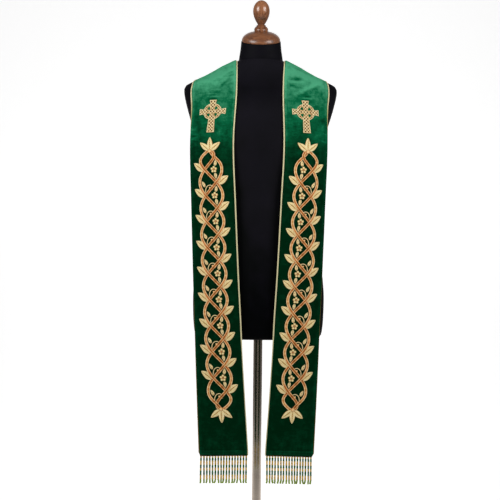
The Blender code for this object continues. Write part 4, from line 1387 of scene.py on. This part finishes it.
# Embroidered band: a plait of three padded strands, leaves in its outer notches, blossoms in its eyes

band = {
    "middle": 0.0680, "low": 0.410, "high": 1.165, "amplitude": 0.0350, "period": 0.226, "closing": 0.045,
    "strand": 0.0043, "overUnder": 0.0009, "base": 0.0009, "step": 0.0020,
    "notch": {"across": 0.0235, "below": 0.004, "angle": 38, "ends": 0.030}, "eyeEnds": 0.055,
    "spray": {"spreads": (-52, 52, 0), "out": 0.003, "inset": 0.004, "berryInset": 0.005, "berry": 0.0052,
              "berryBase": 0.0034},
}
leaves = {  # length, half width and bend
    "notch": (0.037, 0.0105, 0.12), "tendril": (0.018, 0.0044, 0.1), "blossom": (0.017, 0.0044, 0.1),
    "spray": (0.036, 0.0085, 0.0),
}
leafForm = {"pad": 0.0013, "base": 0.0006, "sprayBase": 0.0022, "ribDepth": 0.0007, "ribWidth": 0.10,
            "veinSpacing": 0.0062, "tone": 0.86, "ribTone": 0.55, "veinTone": 0.34, "edgeTone": 0.25}
tendril = {"across": 0.0175, "below": 0.031, "turn": 88, "curl": 400, "step": 0.0019, "slowing": 0.6,
           "halfWidth": 0.0013, "thinning": 0.0004, "base": 0.0008, "berry": 0.0028,
           "leafAside": 0.002, "leafBelow": 0.013, "leafAngle": 62}
berryForm = {"dome": 0.0016, "base": 0.0010, "tone": 0.9, "shade": 0.25, "edge": 0.45}
blossom = {"across": -0.0105, "size": 0.0105, "petalAt": 0.60, "petal": 0.36, "petalBase": 0.0006,
           "eye": 0.26, "eyeBase": 0.0014, "eyeTone": 0.55,
           "leafAside": -0.0035, "leafOff": 0.0105, "leafAngle": 98}


def facesInward(top, columnCount):
    # whether a grid's faces must be turned to look outwards, judged at its middle
    middle = (len(top) // columnCount // 2) * columnCount + columnCount // 2
    after = middle + columnCount if middle + columnCount < len(top) else middle
    down = top[after] - top[middle - columnCount]
    along = top[middle + 1] - top[middle - 1]
    return np.cross(down, along)[1] > 0


class Stitching:
    # gathers patches on one panel into a single mesh
    def __init__(self, panel):
        self.panel = panel
        self.points, self.faces, self.flows, self.tones, self.finishes = [], [], [], [], []
        self.count = 0

    def addGrid(self, x, z, lift, tone, flow, finish):
        # a closed padded patch from grids of rows: its outer face, and a flat back just above the pile
        u = band["middle"] + x
        top = self.panel.place(u, z, lift).reshape(-1, 3)
        back = self.panel.place(u, z, np.full(x.shape, justAbove)).reshape(-1, 3)
        rowCount, columnCount = x.shape
        faces = sheetFaces(rowCount, columnCount, facesInward(top, columnCount)) + self.count
        self.points += [top, back]
        self.faces.append(faces)
        self.flows.append(np.tile(flow.reshape(-1, 2), (2, 1)))
        self.tones.append(np.tile(tone.ravel(), 2))
        self.finishes.append(np.full(len(faces), finish))
        self.count += 2 * rowCount * columnCount

    def finish(self, name):
        points, faces, finishes, flows, tones = (
            np.concatenate(parts)
            for parts in (self.points, self.faces, self.finishes, self.flows, self.tones))
        piece = meshPiece(name, points, faces, [materials["plait"], materials["leaf"]], finishes, flows,
                          {"tone": tones})
        register(piece, "gold_embroidery")
        return piece


strandProfile = np.array([  # share of half the width, height in millimetres, and tone, which paints highlight on the raised ridges and shade in the dips and at the edges
    (-1.00, 0.35, 0.0), (-0.93, 0.80, 0.3), (-0.85, 1.20, 0.95), (-0.74, 1.25, 1.0), (-0.62, 1.00, 0.85),
    (-0.50, 0.70, 0.42), (-0.34, 0.85, 0.30), (-0.16, 1.00, 0.40), (0.00, 1.05, 0.42), (0.16, 1.00, 0.40),
    (0.34, 0.85, 0.30), (0.50, 0.70, 0.42), (0.62, 1.00, 0.85), (0.74, 1.25, 1.0), (0.85, 1.20, 0.95),
    (0.93, 0.80, 0.3), (1.00, 0.35, 0.0)])
# tone: painted highlight along the stem's crown and painted shade at its edges
stemProfile = np.array([
    (-1.0, 0.2, 0.1), (-0.6, 0.7, 0.8), (0.0, 0.9, 1.0), (0.6, 0.7, 0.8), (1.0, 0.2, 0.1)])


def bandEnvelope(height):
    b = band
    fromEnd = np.minimum(height - b["low"], b["high"] - height)
    return b["amplitude"] * np.sin(math.pi / 2 * np.clip(fromEnd / b["closing"], 0, 1)) ** 0.8


def strandPhase(height, k):
    return fullTurn * (height - band["low"]) / band["period"] + fullTurn * k / 3


def strandPlace(height, k):
    # how far across a strand is, and how it slopes there
    phase = strandPhase(height, k)
    envelope = bandEnvelope(height)
    return envelope * np.sin(phase), envelope * np.cos(phase) * fullTurn / band["period"]


def addRibbon(stitching, x, z, half, profile, lift, finish, shine=0.0):
    # satin stitch along a line, its profile swept at right angles to it
    slopeX, slopeZ = np.gradient(x), np.gradient(z)
    length = np.hypot(slopeX, slopeZ)
    sideX, sideZ = slopeZ / length, -slopeX / length
    at = np.concatenate([[0], np.cumsum(np.hypot(np.diff(x), np.diff(z)))])
    share = profile[:, 0]
    half = np.broadcast_to(half, x.shape)[:, None]
    gridX = x[:, None] + sideX[:, None] * share * half
    gridZ = z[:, None] + sideZ[:, None] * share * half
    height = np.broadcast_to(lift, x.shape)[:, None] + profile[:, 1] / 1000
    tone = profile[:, 2] + (0.09 * np.sin(at * 2600) + shine)[:, None]
    stitching.addGrid(gridX, gridZ, height, tone, together(share * half, at[:, None]), finish)


def addStrand(stitching, k):
    b = band
    height = np.arange(b["low"], b["high"], b["step"])
    x, _ = strandPlace(height, k)
    phase = strandPhase(height, k)
    lift = b["base"] + b["overUnder"] * np.cos(2 * (phase - math.radians(30)))
    shine = -0.13 * np.cos(2 * phase)  # upright runs catch more light than slanting ones
    addRibbon(stitching, x, height, b["strand"], strandProfile, lift, 0, shine)


def addBerry(stitching, x, z, size, base=berryForm["base"], finish=0, tone=berryForm["tone"]):
    # a round padded dot, with painted shade deepening towards its rim
    f = berryForm
    out = np.linspace(0.02, 1, 7)[:, None]
    turn = np.linspace(0, fullTurn, 17)[None, :]
    gridX = x + size * out * np.cos(turn)
    gridZ = z + size * out * np.sin(turn)
    lift = base + f["dome"] * np.sqrt(np.clip(1 - out ** 2, 0, 1)) + 0 * turn
    tones = tone - f["shade"] * out ** 2 - f["edge"] * (out > 0.95) + 0 * turn
    stitching.addGrid(gridX, gridZ, lift, tones, together(out * size, turn * size), finish)


def addTendril(stitching, x, z):
    # a thin stem that rises, curls in on itself and ends in a berry
    t = tendril
    along = np.linspace(0, 1, 48)
    heading = math.radians(t["turn"]) + math.radians(t["curl"]) * along ** 1.5
    step = t["step"] * (1 - t["slowing"] * along)
    lineX = x + np.cumsum(step * np.cos(heading))
    lineZ = z + np.cumsum(step * np.sin(heading))
    addRibbon(stitching, lineX, lineZ, t["halfWidth"] - t["thinning"] * along, stemProfile, t["base"], 1)
    addBerry(stitching, lineX[-1], lineZ[-1], t["berry"])


def addLeaf(stitching, kind, x, z, angle, lift=leafForm["base"], way=1):
    # a pointed leaf from its base, bent one way, with a sunken midrib and stitches slanting from it
    f = leafForm
    length, width, bend = leaves[kind]
    along = np.linspace(0, 1, 19)[:, None]
    share = np.linspace(-1, 1, 13)[None, :]
    half = width * np.sin(math.pi * along ** 0.8) ** 0.75 * (1 - 0.15 * along) + 0.0004
    forward = along * length
    aside = share * half + bend * way * length * along * (1 - along)
    cos, sin = math.cos(angle), math.sin(angle)
    gridX = x + forward * cos - aside * sin
    gridZ = z + forward * sin + aside * cos
    pad = np.sqrt(np.clip(1 - np.abs(share) ** 2.5, 0, 1))
    rib = np.exp(-(share / f["ribWidth"]) ** 2)
    height = lift + f["pad"] * pad * np.sin(math.pi * np.clip(along, 0.08, 0.95)) ** 0.4
    height = np.maximum(height - f["ribDepth"] * rib * (along < 0.92), 0.0003) + 0 * aside
    veins = np.sin((forward - 1.3 * np.abs(share * half)) * 2 * math.pi / f["veinSpacing"]) > 0.55
    tone = f["tone"] + 0.12 * np.abs(share) - f["ribTone"] * rib
    tone = tone - f["veinTone"] * veins * (np.abs(share) < 0.75)
    tone = np.where(np.abs(share) > 0.97, f["edgeTone"], tone) + 0 * aside
    flow = together(share * half, forward + 1.1 * np.abs(share * half))
    stitching.addGrid(gridX, gridZ, height, tone, flow, 1)


def addBlossom(stitching, x, z):
    # five round petals and an amber middle
    b = blossom
    size, out = b["size"], b["petalAt"]
    for k in range(5):
        angle = fullTurn * (k + 0.25) / 5
        addBerry(stitching, x + out * size * math.cos(angle), z + out * size * math.sin(angle),
                 b["petal"] * size, base=b["petalBase"], finish=1)
    addBerry(stitching, x, z, b["eye"] * size, base=b["eyeBase"], tone=b["eyeTone"])


def placesUp(start, ending):
    # heights on the band a third of a period apart
    heights = []
    height = band["low"] + start
    while height < band["high"] - ending:
        heights.append(height)
        height += band["period"] / 3
    return heights


def makeBand(name, panel):
    b, n, t, f, s = band, band["notch"], tendril, blossom, band["spray"]
    stitching = Stitching(panel)
    for k in range(3):
        addStrand(stitching, k)
    third = b["period"] / 3
    for way, phase, before, angle in ((1, 30, 0, n["angle"]), (-1, 210, third, 180 - n["angle"])):
        for height in placesUp(b["period"] * phase / 360 - before, n["ends"]):
            if height > b["low"] + n["ends"]:
                addLeaf(stitching, "notch", way * n["across"], height - n["below"], math.radians(angle),
                        way=way)
    for height in placesUp(b["period"] / 4, b["eyeEnds"]):
        addTendril(stitching, t["across"], height - t["below"])
        addLeaf(stitching, "tendril", t["across"] + t["leafAside"], height - t["leafBelow"],
                math.radians(t["leafAngle"]))
    for height in placesUp(b["period"] / 4 + third / 2, b["eyeEnds"]):
        addBlossom(stitching, f["across"], height)
        for way in (-1, 1):
            addLeaf(stitching, "blossom", f["across"] + f["leafAside"], height + f["leafOff"] * way,
                    math.radians(f["leafAngle"] * way), way=way)
    for end, way in ((b["high"], 1), (b["low"], -1)):
        for spread in s["spreads"]:
            angle = math.radians(90 * way + spread)
            addLeaf(stitching, "spray", s["out"] * math.cos(angle),
                    end - s["inset"] * way + s["out"] * math.sin(angle), angle, lift=leafForm["sprayBase"])
        addBerry(stitching, 0, end - s["berryInset"] * way, s["berry"], s["berryBase"])
    return stitching.finish("embroidery" + name)


# Bead fringe: strings of glass beads along each hem

fringe = {
    "strings": 17, "inset": 0.0030, "bead": 0.0029, "pitch": 0.0041, "hang": 1.8,
    "sway": (0.014, 0.01), "sizes": (0.92, 1.06), "kinked": 3, "kink": (0.28, 0.10),
}
beadRun = [  # bead and how many, from the hem down
    ("goldBead", 1), ("darkBead", 2), ("goldBead", 3), ("darkBead", 2), ("goldBead", 2), ("darkBead", 3),
    ("goldBead", 3), ("limeBead", 3)]


def beadShape(radius, halfLength):
    rings = [(0.60, -0.97), (0.90, -0.68), (1.0, 0.0), (0.90, 0.68), (0.60, 0.97)]
    points = [(radius * size * math.cos(fullTurn * k / 8), radius * size * math.sin(fullTurn * k / 8),
               halfLength * rise) for size, rise in rings for k in range(8)]
    faces = [(8 * i + k, 8 * i + (k + 1) % 8, 8 * i + 8 + (k + 1) % 8, 8 * i + 8 + k)
             for i in range(4) for k in range(8)]
    faces += [tuple(range(7, -1, -1)), tuple(range(32, 40))]
    return np.array(points), faces


def swayed(lean, reach):
    # turned a little by chance, sideways and then forwards
    aside, forward = reach
    lean = lean + np.array([dice.uniform(-aside, aside), dice.uniform(-forward, forward), 0])
    return lean / np.linalg.norm(lean)


def makeFringe(name, panel):
    f = fringe
    kinds = ["darkBead", "goldBead", "limeBead"]
    beads = [kinds.index(kind) for kind, many in beadRun for _ in range(many)]
    points, faces, finishes = [], [], []
    count = 0
    top = panel.rows[-1] + panel.normals[-1] * stole["wall"] / 2
    for string in range(f["strings"]):
        u = f["inset"] + (stole["width"] - 2 * f["inset"]) * string / (f["strings"] - 1)
        start = np.array([np.interp(u, columnPlaces, top[:, k]) for k in range(3)])
        spot = start + np.array([0, 0, -f["hang"] * cords["hem"] - f["pitch"] / 2])
        lean = swayed(np.array([0, 0, -1.0]), f["sway"])
        for i, finish in enumerate(beads):
            size = dice.uniform(*f["sizes"])
            shape, shapeFaces = beadShape(f["bead"] * size, f["pitch"] * 0.5)
            if i >= len(beads) - f["kinked"]:  # the tips kink and turn
                lean = swayed(lean, f["kink"])
            turn = Vector(-lean).to_track_quat("Z", "Y").to_matrix()
            placed = shape @ np.array(turn).T + spot
            points.append(placed)
            faces += [tuple(corner + count for corner in face) for face in shapeFaces]
            finishes += [finish] * len(shapeFaces)
            count += len(placed)
            spot = spot + lean * f["pitch"]
    piece = meshPiece("beadFringe" + name, np.concatenate(points), faces,
                      [materials[kind] for kind in kinds], finishes)
    register(piece, "bead_fringe", "fringe_" + name.lower())
    return piece


# Everything together

makeCamera()
makeMaterials()
makeLights()
makeBackdrop()
print("studio done")
makeDressForm()
makeCapAndFinial()
makeStand()
for name, side in sides.items():
    panel = Panel(side, name)
    cloth = makeVelvetHalf(name, panel)
    print("velvet done", name)
    trim = makeCords(name, panel)
    trim.append(makeCross(name, panel))
    trim.append(makeBand(name, panel))
    trim.append(makeFringe(name, panel))
    print("half done", name)
